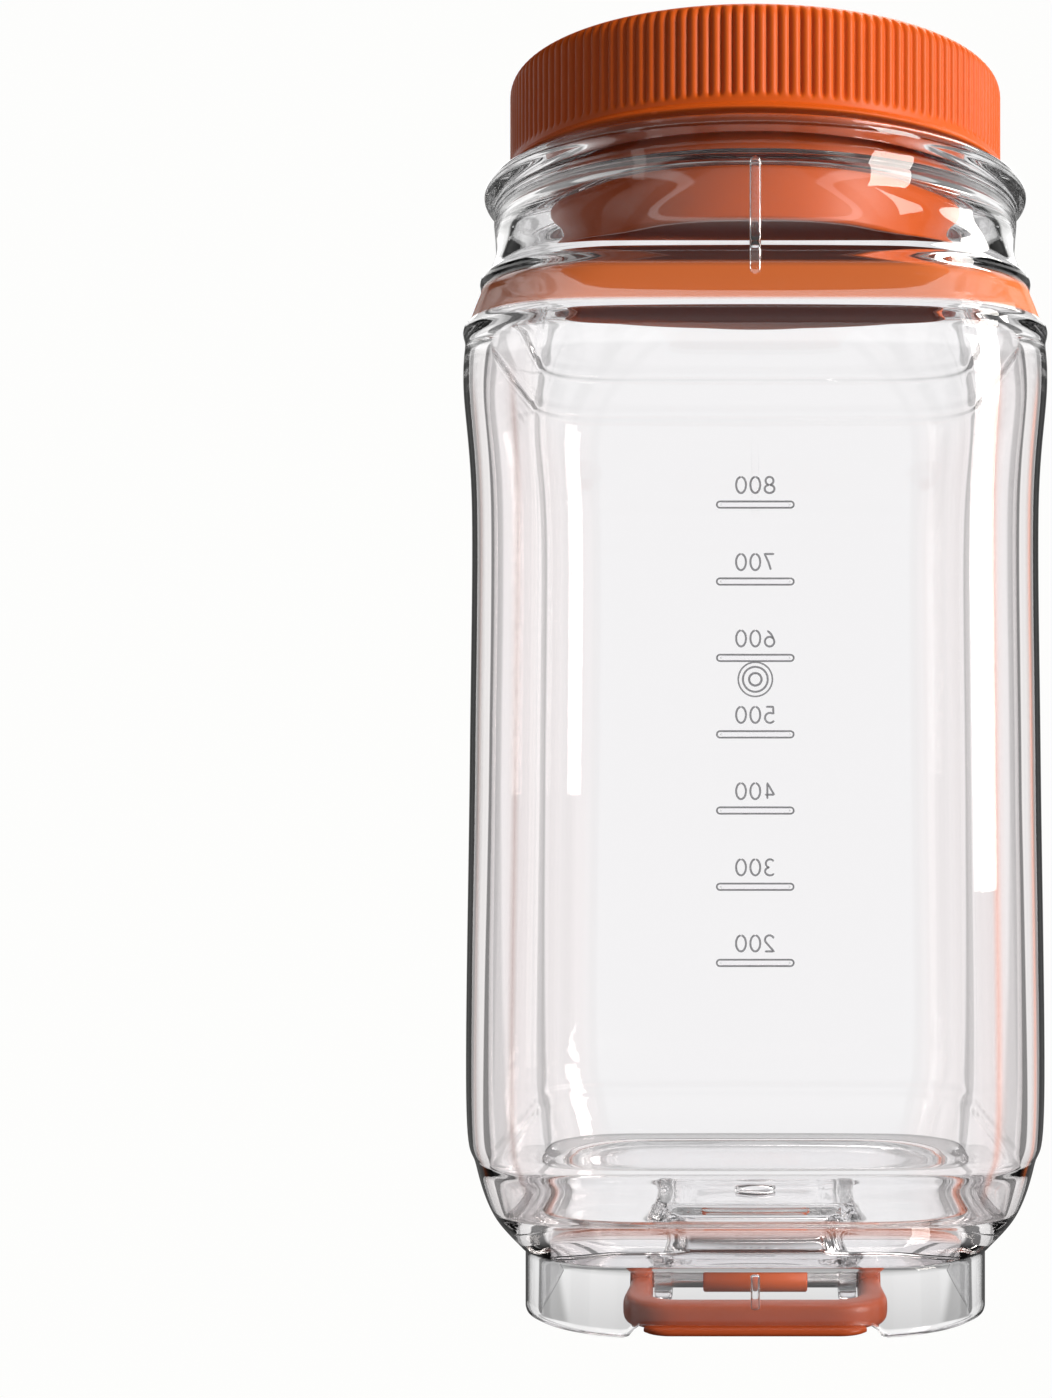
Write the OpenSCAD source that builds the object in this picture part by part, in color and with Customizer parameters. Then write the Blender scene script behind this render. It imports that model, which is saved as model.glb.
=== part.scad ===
// Clear wide-mouth drinking bottle: a rounded-square body with a round dome and flange,
// a screw cap with a ribbed grip and a plug skirt, and a folding carry loop under the base.
// Millimetres. +Z is up, the front faces -Y, and the origin is on the axis at the foot's bottom.

/* [Body] */
// Half of the body's width at the shoulder, its widest place
shoulder_half = 46.6; // [46:0.1:49]
// Half of the body's width at mid height
waist_half = 45.2; // [44:0.1:46]
// Radius of the body's upright corners
corner_r = 22; // [18:1:26]
// Thickness of the moulded wall
wall = 3.4; // [2.8:0.1:4]
// Height of the shoulder's widest place
shoulder_z = 148; // [120:1:180]
// Height of the two beads that run round the shoulder
bead_h = 0.7; // [0.3:0.1:1]

/* [Neck] */
// Radius of the round dome below the flange
dome_r = 44.4; // [43:0.1:45]
// Radius of the lens-shaped flange
flange_r = 46; // [45.5:0.1:48]
// Radius of the mouth's bore
mouth_r = 34.5; // [34:0.1:35]
// Wall of the threaded neck
neck_wall = 2.5; // [2.2:0.1:2.8]

/* [Screw] */
// Rise of the cap in one turn
lead = 12; // [12:1:15]
// Starts of the thread
starts = 3; // [3:1:3]
// Height of the thread over the neck
thread_h = 1.7; // [1.4:0.1:1.8]
// Gap between the cap's thread and the neck's
thread_gap = 0.4; // [0.3:0.05:0.5]

/* [Cap] */
// Radius over the ribs of the cap
cap_r = 41.6; // [41.6:0.1:43]
// Height of the cap
cap_h = 17; // [16:0.5:18]
// Number of ribs round the grip
ribs = 150; // [60:10:180]
// Depth of the ribs
rib_depth = 0.6; // [0.3:0.1:0.7]
// How far the plug skirt reaches down into the bottle from the rim
skirt_depth = 28; // [8:1:30]

/* [Base] */
// Half of the foot's width
foot_half = 37.6; // [37:0.1:38.5]
// Radius of the foot's corners
foot_corner_r = 24; // [20:1:28]
// Height of the foot ring up to the joint with the body
foot_h = 11; // [10:0.1:12]
// Thickness of the foot ring
foot_wall = 2.5; // [2:0.1:3]
// Height of the floor inside the bottle
floor_z = 18; // [17:0.5:20]
// Thickness of the floor
floor_t = 3; // [2:0.5:3.5]

/* [Carry loop] */
// Half of the loop's width over its arms
loop_half = 20.4; // [19:0.1:22]
// Width of the loop's front bar
loop_bar = 5; // [4:0.5:5]
// Width of the loop's arms
loop_arm = 3.6; // [3:0.1:4]
// Thickness of the loop
loop_t = 4.6; // [4:0.1:5]
// How far the finger lip stands out under the foot's front edge
lip_reach = 2.6; // [1.5:0.1:2.6]
// Distance of the pivot pin behind the loop's front edge
loop_reach = 20.6; // [18:0.1:22]
// Radius of the pivot pin
pin_r = 1.1; // [0.9:0.1:1.2]
// Running clearance between the loop and the pin
pin_clear = 0.05; // [0.02:0.01:0.1]

/* [Hidden] */
$fn = 96;
CLEAR = [0.86, 0.9, 0.94, 0.4];
ORANGE = [0.83, 0.33, 0.13];
STEEL = [0.62, 0.62, 0.64];
SILICONE = [0.95, 0.93, 0.9];
join = 0.6;
buried = 0.2;
side_gap = 0.4;

// Heights up the neck
dome_z = shoulder_z + 31;
flange_z = dome_z + 2.5;
flange_t = 4;
neck_r = mouth_r + neck_wall;
cap_z = flange_z + flange_t + 1;
rim_z = cap_z + cap_h - 3.9;
seal_t = 0.8;
seal_gap = 0.05;
liner_z = rim_z + seal_t + 2 * seal_gap;
liner_t = 1.45;
cap_bore_r = neck_r + thread_h + thread_gap;
inner_dome_r = dome_r - wall;

// Body sections: height, half width, corner radius
outer_rows = [
    [foot_h, foot_half + 0.4, corner_r - 1],
    [foot_h + 6, waist_half - 3, corner_r],
    [foot_h + 14, waist_half - 0.5, corner_r],
    [foot_h + 25, waist_half + 0.9, corner_r],
    [shoulder_z - 60, waist_half + 0.4, corner_r],
    [shoulder_z - 20, waist_half, corner_r],
    [shoulder_z, shoulder_half, corner_r + 1],
    [shoulder_z + 9, shoulder_half - 0.8, corner_r + 2],
    [shoulder_z + 16, shoulder_half - 2.5, corner_r + 5],
    [shoulder_z + 22, shoulder_half - 3.8, corner_r + 10],
    [shoulder_z + 27, dome_r - 0.6, dome_r - 4],
    [dome_z, dome_r - buried, dome_r]
];
plug_half = foot_half - 3;
joint_rows = [[floor_z, plug_half, corner_r - 3], [foot_h, plug_half, corner_r - 3]];
inner_rows = [
    [floor_z + 0.1, plug_half + 5.4, corner_r - 2.4],
    [floor_z + 6, plug_half + 6.5, corner_r - 3],
    [floor_z + 17, waist_half + 0.9 - wall, corner_r - wall],
    [shoulder_z - 60, waist_half + 0.4 - wall, corner_r - wall],
    [shoulder_z - 20, waist_half - wall, corner_r - wall],
    [shoulder_z, shoulder_half - wall, corner_r - wall + 1],
    [shoulder_z + 12, shoulder_half - 1.7 - wall, corner_r - wall + 3],
    [shoulder_z + 22, shoulder_half - 4.2 - wall, corner_r - wall + 10],
    [dome_z - 1, inner_dome_r + buried, inner_dome_r + buried]
];
bead_heights = [shoulder_z + 8, shoulder_z + 17];
bead_spread = 1.5;
seam_turn = 5;
corner_steps = 12;
ring_points = 4 * corner_steps;

// Loop and pin
loop_front = -(foot_half - foot_wall - 0.5);
pin_y = loop_front + loop_reach;
pin_z = 3.4;
loop_z = 0.1;
ear_out = loop_half - loop_arm - side_gap;
ear_in = ear_out - 2.8;
ear_r = 3;
hub_r = 3.2;
sleeve_half = 8.5;
sleeve_r = 1.8;

// Points of a rounded square at one height
function ring(row) =
    let (half = row[1], r = min(row[2], half))
    [for (q = [0:3]) for (i = [0:corner_steps - 1])
        let (a = 90 * (q + (i + 0.5) / corner_steps), c = half - r)
        [c * sign(cos(90 * q + 45)) + r * cos(a), c * sign(sin(90 * q + 45)) + r * sin(a), row[0]]];

// A smooth curve through a list of rows, with a number of steps between two rows
function curve_point(p, q, s, t, u) =
    0.5 * (2 * q + (s - p) * u + (2 * p - 5 * q + 4 * s - t) * u * u + (3 * q - p - 3 * s + t) * u * u * u);
function smooth(rows, steps) =
    let (last = len(rows) - 1)
    concat([for (i = [0:last - 1]) for (k = [0:steps - 1])
        curve_point(rows[max(i - 1, 0)], rows[i], rows[i + 1], rows[min(i + 2, last)], k / steps)],
        [rows[last]]);

// The bead's height over the plain wall, summed over both beads
function bead(z) =
    let (hump = [for (b = bead_heights) exp(-pow((z - b) / bead_spread, 2))]) bead_h * (hump[0] + hump[1]);
function beaded(rows) = [for (r = rows) [r[0], r[1] + bead(r[0]), r[2]]];
function reversed(list) = [for (i = [len(list) - 1:-1:0]) list[i]];

// A closed skin over rings that run up the outside and down the inside
module shell(rings) {
    count = len(rings);
    polyhedron(
        points = [for (g = rings) each g],
        faces = [for (i = [0:count - 1]) for (j = [0:ring_points - 1])
            let (a = i * ring_points + j,
                 b = i * ring_points + (j + 1) % ring_points,
                 c = ((i + 1) % count) * ring_points + (j + 1) % ring_points,
                 d = ((i + 1) % count) * ring_points + j)
            each [[a, d, c], [a, c, b]]]);
}

// A helical rib: base_r is the buried side, tip_r the crest, mid_z the height of its middle line
// at angle 0, and it runs from angle a0 over a sweep
module thread_rib(base_r, tip_r, base_w, tip_w, mid_z, a0, sweep) {
    step = 10;
    n = floor(sweep / step);
    function section(i) =
        let (a = a0 + i * step,
             z = mid_z + lead * a / 360,
             full = min(1, 0.45 + 0.3 * min(i, n - i)),
             tip = base_r + (tip_r - base_r) * full)
        [for (p = [[base_r, -base_w / 2], [tip, -tip_w / 2], [tip, tip_w / 2], [base_r, base_w / 2]])
            [p[0] * cos(a), p[0] * sin(a), z + p[1]]];
    out = tip_r > base_r;
    sides = [for (i = [0:n - 1]) for (j = [0:3])
        let (a = 4 * i + j, b = 4 * i + (j + 1) % 4, c = a + 4, d = b + 4)
        each [[a, b, d], [a, d, c]]];
    ends = [[3, 2, 1, 0], [4 * n, 4 * n + 1, 4 * n + 2, 4 * n + 3]];
    faces = concat(sides, ends);
    polyhedron(
        points = [for (i = [0:n]) each section(i)],
        faces = out ? faces : [for (f = faces) reversed(f)]);
}

// A rectangle with round corners, from its half sizes
module rounded_rect(hx, hy, r) {
    square([2 * hx, 2 * (hy - r)], center = true);
    square([2 * (hx - r), 2 * hy], center = true);
    for (sx = [-1, 1]) for (sy = [-1, 1]) translate([sx * (hx - r), sy * (hy - r)]) circle(r);
}

// Draws a Y-Z outline and gives it a width along X, centred on the middle plane
module across(width) {
    rotate([90, 0, 90]) translate([0, 0, -width / 2]) linear_extrude(width) children();
}

// A rod along X through the pivot's axis
module pivot_rod(r, half) {
    translate([-half, pin_y, pin_z]) rotate([0, 90, 0]) cylinder(r = r, h = 2 * half);
}

thread_z = cap_z + 2.9;
thread_sweep = 190;
pitch = lead / starts;

// Walls, dome, flange and threaded neck
module bottle_body() {
    color(CLEAR) union() {
        shell(concat([for (r = beaded(smooth(outer_rows, 4))) ring(r)],
                     [for (r = reversed(smooth(inner_rows, 3))) ring(r)],
                     [for (r = joint_rows) ring(r)]));
        rotate_extrude() polygon([
            [inner_dome_r, dome_z - 1.5], [dome_r, dome_z - 0.5], [dome_r, flange_z],
            [flange_r - 0.7, flange_z + 0.6], [flange_r, flange_z + flange_t / 2],
            [flange_r - 0.7, flange_z + flange_t - 0.6], [neck_r + 2, flange_z + flange_t],
            [neck_r, flange_z + flange_t + 0.3], [neck_r, rim_z - 0.6], [neck_r - 0.6, rim_z],
            [mouth_r + 0.6, rim_z], [mouth_r, rim_z - 0.6], [mouth_r, flange_z + 0.8],
            [mouth_r + 0.8, flange_z], [inner_dome_r - 3, flange_z - 0.4], [inner_dome_r - 0.8, dome_z + 0.8]]);
        for (k = [0:starts - 1])
            rotate([0, 0, seam_turn + k * 360 / starts])
                thread_rib(neck_r - join, neck_r + thread_h, 2.8, 1, thread_z, 0, thread_sweep);
    }
}

// Floor, loop pocket, pivot ears and foot ring
pocket_half = ear_out;
pocket_front = 1.5 - plug_half;
pocket_back = pin_y + 2;
pocket_rise = 2.5;
pocket_wall = 2;
pocket_mid = (pocket_back + pocket_front) / 2;
pocket_depth = (pocket_back - pocket_front) / 2;
relief_half = 17.6;
relief_run = 2.4;
relief_h = 2;
plug_corner_r = corner_r - 3;
plug_wall = 2.4;

module base_cup() {
    color(CLEAR) difference() {
        union() {
            difference() {
                union() {
                    linear_extrude(foot_h) rounded_rect(foot_half, foot_half, foot_corner_r);
                    linear_extrude(floor_z) rounded_rect(plug_half, plug_half, plug_corner_r);
                }
                translate([0, 0, -1]) linear_extrude(foot_h + 1)
                    rounded_rect(foot_half - foot_wall, foot_half - foot_wall, foot_corner_r - foot_wall);
                translate([0, 0, -1]) linear_extrude(floor_z - floor_t + 1)
                    rounded_rect(plug_half - plug_wall, plug_half - plug_wall, plug_corner_r - plug_wall);
            }
            translate([0, pocket_mid, floor_z - join]) linear_extrude(pocket_rise + join)
                rounded_rect(pocket_half, pocket_depth, 5);
            for (side = [-1, 1])
                translate([side * (ear_in + ear_out) / 2, 0, 0])
                    across(ear_out - ear_in) union() {
                        translate([pin_y, pin_z]) circle(ear_r);
                        polygon([[pin_y - ear_r, pin_z], [pin_y + ear_r, pin_z],
                                 [pin_y + ear_r + 2, floor_z - floor_t + join],
                                 [pin_y - ear_r - 2, floor_z - floor_t + join]]);
                    }
        }
        translate([0, pocket_mid, floor_z - floor_t - 1]) linear_extrude(pocket_rise + 1)
            rounded_rect(pocket_half - pocket_wall, pocket_depth - pocket_wall, 3);
        translate([0, -foot_half / 2, 0]) rotate([90, 0, 0]) linear_extrude(foot_half) polygon([
            [-relief_half - relief_run, 0], [-relief_half - relief_run, -1], [relief_half + relief_run, -1],
            [relief_half + relief_run, 0], [relief_half, relief_h], [-relief_half, relief_h]]);
        pivot_rod(pin_r, loop_half);
    }
}

// Folding bail that the bottle is carried by, with a lip for a fingertip
lip_half = 17;
lip_t = 1.4;

module carry_loop() {
    color(ORANGE) difference() {
        union() {
            translate([0, 0, loop_z]) linear_extrude(loop_t) intersection() {
                difference() {
                    translate([0, pin_y]) rounded_rect(loop_half, loop_reach, 8);
                    translate([0, pin_y]) rounded_rect(loop_half - loop_arm, loop_reach - loop_bar, 4);
                }
                translate([-loop_half, loop_front]) square([2 * loop_half, loop_reach]);
            }
            translate([0, loop_front, loop_z]) linear_extrude(lip_t)
                rounded_rect(lip_half, lip_reach, lip_reach - 0.1);
            for (side = [-1, 1])
                translate([side * (loop_half - loop_arm / 2) - loop_arm / 2, pin_y, pin_z])
                    rotate([0, 90, 0]) cylinder(r = hub_r, h = loop_arm);
        }
        pivot_rod(pin_r + pin_clear, loop_half + 1);
    }
}

module loop_pin() {
    color(STEEL) pivot_rod(pin_r, loop_half - 0.2);
}

module pin_sleeve() {
    color(ORANGE) difference() {
        pivot_rod(sleeve_r, sleeve_half);
        pivot_rod(pin_r, sleeve_half + 1);
    }
}

// Ribbed outer cap with the female thread
edge_r = cap_r + 0.1;
lip_r = cap_r + 1.2;
fillet_r = 2.6;
band_h = 2.3;
valley_r = cap_r - rib_depth;
grip_top = cap_h - fillet_r - 0.3;

module cap_shell() {
    color(ORANGE) union() {
        translate([0, 0, cap_z]) rotate_extrude() polygon([
            [cap_bore_r, 0], [lip_r, 0], [lip_r, 0.6], [edge_r, 1.3], [edge_r, band_h], [cap_bore_r, band_h]]);
        translate([0, 0, cap_z + band_h]) linear_extrude(grip_top - band_h) difference() {
            polygon([for (i = [0:ribs - 1]) for (p = [[0, cap_r], [0.5, valley_r]])
                let (a = 360 * (i + p[0]) / ribs) [p[1] * cos(a), p[1] * sin(a)]]);
            circle(cap_bore_r);
        }
        translate([0, 0, cap_z]) rotate_extrude() polygon(concat(
            [[cap_bore_r, grip_top], [edge_r, grip_top]],
            [for (a = [0:15:90]) [edge_r - fillet_r * (1 - cos(a)), cap_h - fillet_r * (1 - sin(a))]],
            [[34, cap_h], [33, cap_h - 0.5], [0, cap_h - 0.5], [0, cap_h - 1.5], [cap_bore_r, cap_h - 1.5]]));
        for (k = [0:starts - 1])
            rotate([0, 0, seam_turn + k * 360 / starts])
                thread_rib(cap_bore_r + join, cap_bore_r - thread_h + 0.1, 2.8, 1,
                           thread_z + pitch / 2, -60, thread_sweep - 10);
    }
}

// Inner cup of the cap: the disc that presses on the gasket and the skirt in the mouth
skirt_gap = 0.35;
skirt_wall = 1.6;

module cap_liner() {
    color(ORANGE) rotate_extrude() polygon([
        [0, liner_z], [mouth_r - skirt_gap - skirt_wall, liner_z],
        [mouth_r - skirt_gap - skirt_wall, rim_z - skirt_depth + 0.5],
        [mouth_r - skirt_gap - skirt_wall + 0.5, rim_z - skirt_depth],
        [mouth_r - skirt_gap - 0.5, rim_z - skirt_depth],
        [mouth_r - skirt_gap, rim_z - skirt_depth + 0.5],
        [mouth_r - skirt_gap, liner_z], [cap_bore_r, liner_z],
        [cap_bore_r, liner_z + liner_t], [0, liner_z + liner_t]]);
}

// Flat ring that seals the rim
module cap_gasket() {
    color(SILICONE) translate([0, 0, rim_z + seal_gap]) difference() {
        cylinder(r = cap_bore_r - 0.5, h = seal_t);
        translate([0, 0, -1]) cylinder(r = mouth_r + 0.1, h = seal_t + 2);
    }
}

bottle_body();
base_cup();
carry_loop();
loop_pin();
pin_sleeve();
cap_shell();
cap_liner();
cap_gasket();
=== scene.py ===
"""Looks of a clear wide-mouth drinking bottle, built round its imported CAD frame.

Every new piece is a surface worked out with numpy in millimetres and stored in metres, in the row
frame: +Z up, front towards -Y, origin on the axis at the bottom of the foot.
"""
import logging
import math
from dataclasses import dataclass, field
from enum import Enum

import bpy
import numpy as np
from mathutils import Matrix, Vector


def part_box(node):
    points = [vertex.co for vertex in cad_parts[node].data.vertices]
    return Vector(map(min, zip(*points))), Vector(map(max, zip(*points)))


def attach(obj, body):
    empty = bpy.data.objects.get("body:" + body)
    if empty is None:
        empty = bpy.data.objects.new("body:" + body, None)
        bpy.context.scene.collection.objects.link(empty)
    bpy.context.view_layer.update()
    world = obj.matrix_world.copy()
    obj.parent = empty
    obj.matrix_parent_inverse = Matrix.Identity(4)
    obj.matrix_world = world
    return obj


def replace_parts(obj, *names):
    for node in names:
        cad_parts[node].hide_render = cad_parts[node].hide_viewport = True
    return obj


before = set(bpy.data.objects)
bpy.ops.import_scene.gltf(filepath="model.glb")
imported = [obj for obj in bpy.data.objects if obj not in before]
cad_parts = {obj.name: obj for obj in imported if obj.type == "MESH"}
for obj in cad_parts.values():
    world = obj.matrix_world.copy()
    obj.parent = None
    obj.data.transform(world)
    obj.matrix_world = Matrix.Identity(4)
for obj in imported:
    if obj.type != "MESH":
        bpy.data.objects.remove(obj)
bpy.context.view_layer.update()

MM = 0.001
# Names of the two point attributes that hold painted light: a painted orange reflection and a painted warm
# reflection in the corners.
PAINTED_REFLECTION_ATTRIBUTE = "painted_orange_reflection"
PAINTED_CORNER_ATTRIBUTE = "painted_corner_reflection"
THREAD_TURN = 5.0
STUDIO_WHITE = (1.0, 1.0, 0.99, 1.0)
LAMP_WHITE = (1.0, 0.955, 0.9)
LOG = logging.getLogger("bottle")


class Body(Enum):
    """The CAD bodies that pieces ride on."""

    BOTTLE = "bottle"
    CAP_LIFT = "cap_lift"
    CAP = "cap"
    LOOP = "loop"


class Slot(Enum):
    """The record's material slots."""

    BODY = "clear_body"
    BASE = "clear_base"
    LOOP = "loop_orange"
    PIN = "pin_steel"
    SLEEVE = "sleeve_orange"
    CAP = "cap_orange"
    LINER = "liner_orange"
    GASKET = "gasket_silicone"


# ---------------------------------------------------------------- shared shapes


def node_box(name: str) -> tuple[np.ndarray, np.ndarray]:
    """Gives a CAD node's box in millimetres.

    Args:
        name: The node's name.

    Returns:
        Its lowest and highest corners.
    """
    low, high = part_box(name)
    return np.array(low) / MM, np.array(high) / MM


def smooth_step(value: np.ndarray, start: float, end: float) -> np.ndarray:
    """Rises from 0 at start to 1 at end along 3t^2 - 2t^3.

    Args:
        value: Where to read the step.
        start: Value at which it starts.
        end: Value at which it ends; it may be below start.

    Returns:
        The step's height at each value.
    """
    t = np.clip((value - start) / (end - start), 0.0, 1.0)
    return t * t * (3.0 - 2.0 * t)


def flow(rows: np.ndarray, steps: int) -> np.ndarray:
    """Draws a Catmull-Rom curve through the rows, with the same number of steps between any two.

    Args:
        rows: Control rows, one a line.
        steps: Points made for each stretch between two rows.

    Returns:
        The curve's rows, ending in the last control row.
    """
    padded = np.vstack([rows[:1], rows, rows[-1:]])
    u = (np.arange(steps) / steps)[None, :, None]
    p, q, s, t = (padded[k:len(padded) - 3 + k, None, :] for k in range(4))
    curve = 0.5 * (2 * q + (s - p) * u + (2 * p - 5 * q + 4 * s - t) * u ** 2
                   + (3 * q - p - 3 * s + t) * u ** 3)
    return np.vstack([curve.reshape(-1, rows.shape[1]), rows[-1:]])


def polyline(points: list[tuple[float, ...]], step: float) -> np.ndarray:
    """Fills straight stretches between points with evenly spaced rows.

    Args:
        points: Corner points.
        step: Longest distance between two rows.

    Returns:
        The rows, corners included.
    """
    corners = np.array(points, dtype=float)
    pieces = []
    for start, end in zip(corners[:-1], corners[1:]):
        count = max(1, math.ceil(np.linalg.norm(end - start) / step))
        pieces.append(start + (end - start) * (np.arange(count) / count)[:, None])
    return np.vstack(pieces + [corners[-1:]])


@dataclass(frozen=True)
class SquareSection:
    """A rounded square whose flats carry a slight crown, as a support curve.

    The support distance at normal angle a is r + (w - r) * (soft|cos a| + soft|sin a|) / norm, with
    half width w, corner radius r and soft|u| = sqrt(u^2 + e^2). The point is the support distance
    along the normal plus its slope along the tangent. With w equal to r it is a circle.
    """

    columns: int = 320
    softness: float = 0.02
    measured_half: float = 45.0
    measured_corner: float = 20.0
    measured_steps: int = 20001

    def angles(self) -> np.ndarray:
        """Gives normal angles, in radians, that space the columns evenly along the measured section."""
        fine = np.linspace(0.0, 2 * np.pi, self.measured_steps)
        xy = self.points(np.array([[self.measured_half]]), np.array([[self.measured_corner]]), fine[None, :])[0]
        run = np.concatenate([[0.0], np.cumsum(np.linalg.norm(np.diff(xy, axis=0), axis=1))])
        return np.interp(np.arange(self.columns) / self.columns * run[-1], run, fine)

    def points(self, half: np.ndarray, corner: np.ndarray, angle: np.ndarray) -> np.ndarray:
        """Works out the section's points.

        Args:
            half: Half widths, as a column.
            corner: Corner radii, as a column.
            angle: Normal angles, as a row.

        Returns:
            An array of rows by columns by 2.
        """
        c, s = np.cos(angle), np.sin(angle)
        e = self.softness
        soft_c, soft_s = np.sqrt(c * c + e * e), np.sqrt(s * s + e * e)
        norm = math.sqrt(1 + e * e) + e
        corner = np.minimum(corner, half)
        support = corner + (half - corner) * (soft_c + soft_s) / norm
        slope = (half - corner) * (c * s / soft_s - c * s / soft_c) / norm
        return np.stack([support * c - slope * s, support * s + slope * c], axis=-1)

    def loft(self, rows: np.ndarray) -> np.ndarray:
        """Stacks sections.

        Args:
            rows: Height, half width and corner radius of each section.

        Returns:
            An array of rows by columns by 3.
        """
        xy = self.points(rows[:, 1:2], rows[:, 2:3], self.angles()[None, :])
        z = np.broadcast_to(rows[:, 0][:, None, None], xy.shape[:2] + (1,))
        return np.concatenate([xy, z], axis=-1)


@dataclass
class Mesh:
    """Points and faces that grids are gathered in before they become one object."""

    points: list[np.ndarray] = field(default_factory=list)
    faces: list[np.ndarray] = field(default_factory=list)
    lights: list[np.ndarray] = field(default_factory=list)
    count: int = 0

    def grid(self, xyz: np.ndarray, loop_rows: bool = False, light: np.ndarray | None = None) -> None:
        """Adds a grid that is closed across its columns.

        The columns run anticlockwise seen from the end that the rows run to, so faces point outwards.

        Args:
            xyz: Rows by columns by 3.
            loop_rows: Joins the last row to the first; otherwise fans of triangles close both ends.
            light: Painted orange reflection and painted warm corner reflection at each point, rows by columns by
                2.
        """
        rows, cols = xyz.shape[:2]
        self.lights.append(np.zeros((rows * cols, 2)) if light is None else light.reshape(-1, 2))
        index = np.arange(rows * cols).reshape(rows, cols) + self.count
        self.points.append(xyz.reshape(-1, 3))
        self.count += rows * cols
        nxt = np.roll(index, -1, axis=1)
        low, low_n = index[:-1], nxt[:-1]
        high, high_n = index[1:], nxt[1:]
        if loop_rows:
            low, low_n = index, nxt
            high, high_n = np.roll(index, -1, axis=0), np.roll(nxt, -1, axis=0)
        self.faces.append(np.stack([low, low_n, high_n, high], axis=-1).reshape(-1, 4))
        if not loop_rows:
            self.fan(index[0][::-1], xyz[0].mean(axis=0))
            self.fan(index[-1], xyz[-1].mean(axis=0))

    def fan(self, rim: np.ndarray, centre: np.ndarray) -> None:
        """Closes a rim with triangles to one point.

        Args:
            rim: Point numbers, anticlockwise seen from outside.
            centre: The middle point.
        """
        self.points.append(centre[None, :])
        self.lights.append(np.zeros((1, 2)))
        middle = np.full_like(rim, self.count)
        self.count += 1
        self.faces.append(np.stack([rim, np.roll(rim, -1), middle], axis=-1))

    def build(self, name: str, finish: bpy.types.Material, body: Body, slot: Slot) -> bpy.types.Object:
        """Makes the object, dresses it and lets it ride.

        Args:
            name: The piece's name.
            finish: Its material.
            body: The CAD body that it moves with.
            slot: The record's slot that its finish comes from; not used.

        Returns:
            The new object.
        """
        mesh = bpy.data.meshes.new(name)
        points = np.vstack(self.points) * MM
        loops = np.concatenate([f.ravel() for f in self.faces])
        sizes = np.concatenate([np.full(len(f), f.shape[1]) for f in self.faces])
        mesh.vertices.add(len(points))
        mesh.vertices.foreach_set("co", points.astype(np.float32).ravel())
        mesh.loops.add(len(loops))
        mesh.loops.foreach_set("vertex_index", loops.astype(np.int32))
        mesh.polygons.add(len(sizes))
        mesh.polygons.foreach_set("loop_start", (np.cumsum(sizes) - sizes).astype(np.int32))
        mesh.polygons.foreach_set("loop_total", sizes.astype(np.int32))
        mesh.polygons.foreach_set("use_smooth", np.ones(len(sizes), dtype=bool))
        mesh.update(calc_edges=True)
        # Stores the painted light as two point attributes.
        lights = np.vstack(self.lights)
        if lights.any():
            for column, label in enumerate((PAINTED_REFLECTION_ATTRIBUTE, PAINTED_CORNER_ATTRIBUTE)):
                values = mesh.attributes.new(label, "FLOAT", "POINT").data
                values.foreach_set("value", lights[:, column].astype(np.float32))
        mesh.validate()
        mesh.materials.append(finish)
        piece = bpy.data.objects.new(name, mesh)
        bpy.context.scene.collection.objects.link(piece)
        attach(piece, body.value)
        LOG.info("%s: %d faces", name, len(sizes))
        return piece


def lathe(profile: np.ndarray, columns: int = 192) -> np.ndarray:
    """Turns a profile round the Z axis: x = r cos a, y = r sin a.

    Args:
        profile: Radius and height of each row.
        columns: Points round the axis.

    Returns:
        Rows by columns by 3.
    """
    a = np.arange(columns) / columns * 2 * np.pi
    r, z = profile[:, :1], profile[:, 1:]
    return np.stack([r * np.cos(a), r * np.sin(a), np.broadcast_to(z, (len(profile), columns))], axis=-1)


def radially(xyz: np.ndarray, change: np.ndarray) -> np.ndarray:
    """Moves points out from the Z axis.

    Args:
        xyz: The points.
        change: How far each moves out.

    Returns:
        The moved points.
    """
    r = np.hypot(xyz[..., 0], xyz[..., 1])
    out = xyz.copy()
    out[..., :2] *= ((r + change) / r)[..., None]
    return out


def along_x(xyz: np.ndarray, centre: tuple[float, float, float]) -> np.ndarray:
    """Lays a turned shape's axis along X: its Z becomes X, its X becomes Y and its Y becomes Z.

    Args:
        xyz: The shape's points.
        centre: Where its origin goes.

    Returns:
        The moved points.
    """
    return np.stack([xyz[..., 2], xyz[..., 0], xyz[..., 1]], axis=-1) + np.array(centre)


def swept(path: np.ndarray, wide: np.ndarray, tall: np.ndarray, up: np.ndarray, power: float = 2.0,
          columns: int = 24, lowest: float = -1.0) -> np.ndarray:
    """Carries a superellipse along a path.

    A point is path + side * wide * |cos a|^(2/p) * sign + up * tall * |sin a|^(2/p) * sign, and side
    is the path's direction crossed with up.

    Args:
        path: Points of the middle line.
        wide: Half width of the section at each point.
        tall: Half height of the section at each point.
        up: Direction of the height, one for all or one a point.
        power: Superellipse power; 2 is an ellipse and more is squarer.
        columns: Points round the section.
        lowest: Part of the half height at which the section's underside is cut flat.

    Returns:
        Rows by columns by 3.
    """
    way = np.gradient(path, axis=0)
    way /= np.linalg.norm(way, axis=1, keepdims=True)
    up = np.broadcast_to(up, path.shape)
    side = np.cross(way, up)
    side /= np.linalg.norm(side, axis=1, keepdims=True)
    rise = np.cross(side, way)
    a = np.arange(columns) / columns * 2 * np.pi
    c = np.sign(np.cos(a)) * np.abs(np.cos(a)) ** (2 / power)
    s = np.maximum(np.sign(np.sin(a)) * np.abs(np.sin(a)) ** (2 / power), lowest)
    return (path[:, None, :] + side[:, None, :] * (wide[:, None] * c)[..., None]
            + rise[:, None, :] * (tall[:, None] * s)[..., None])


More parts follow.
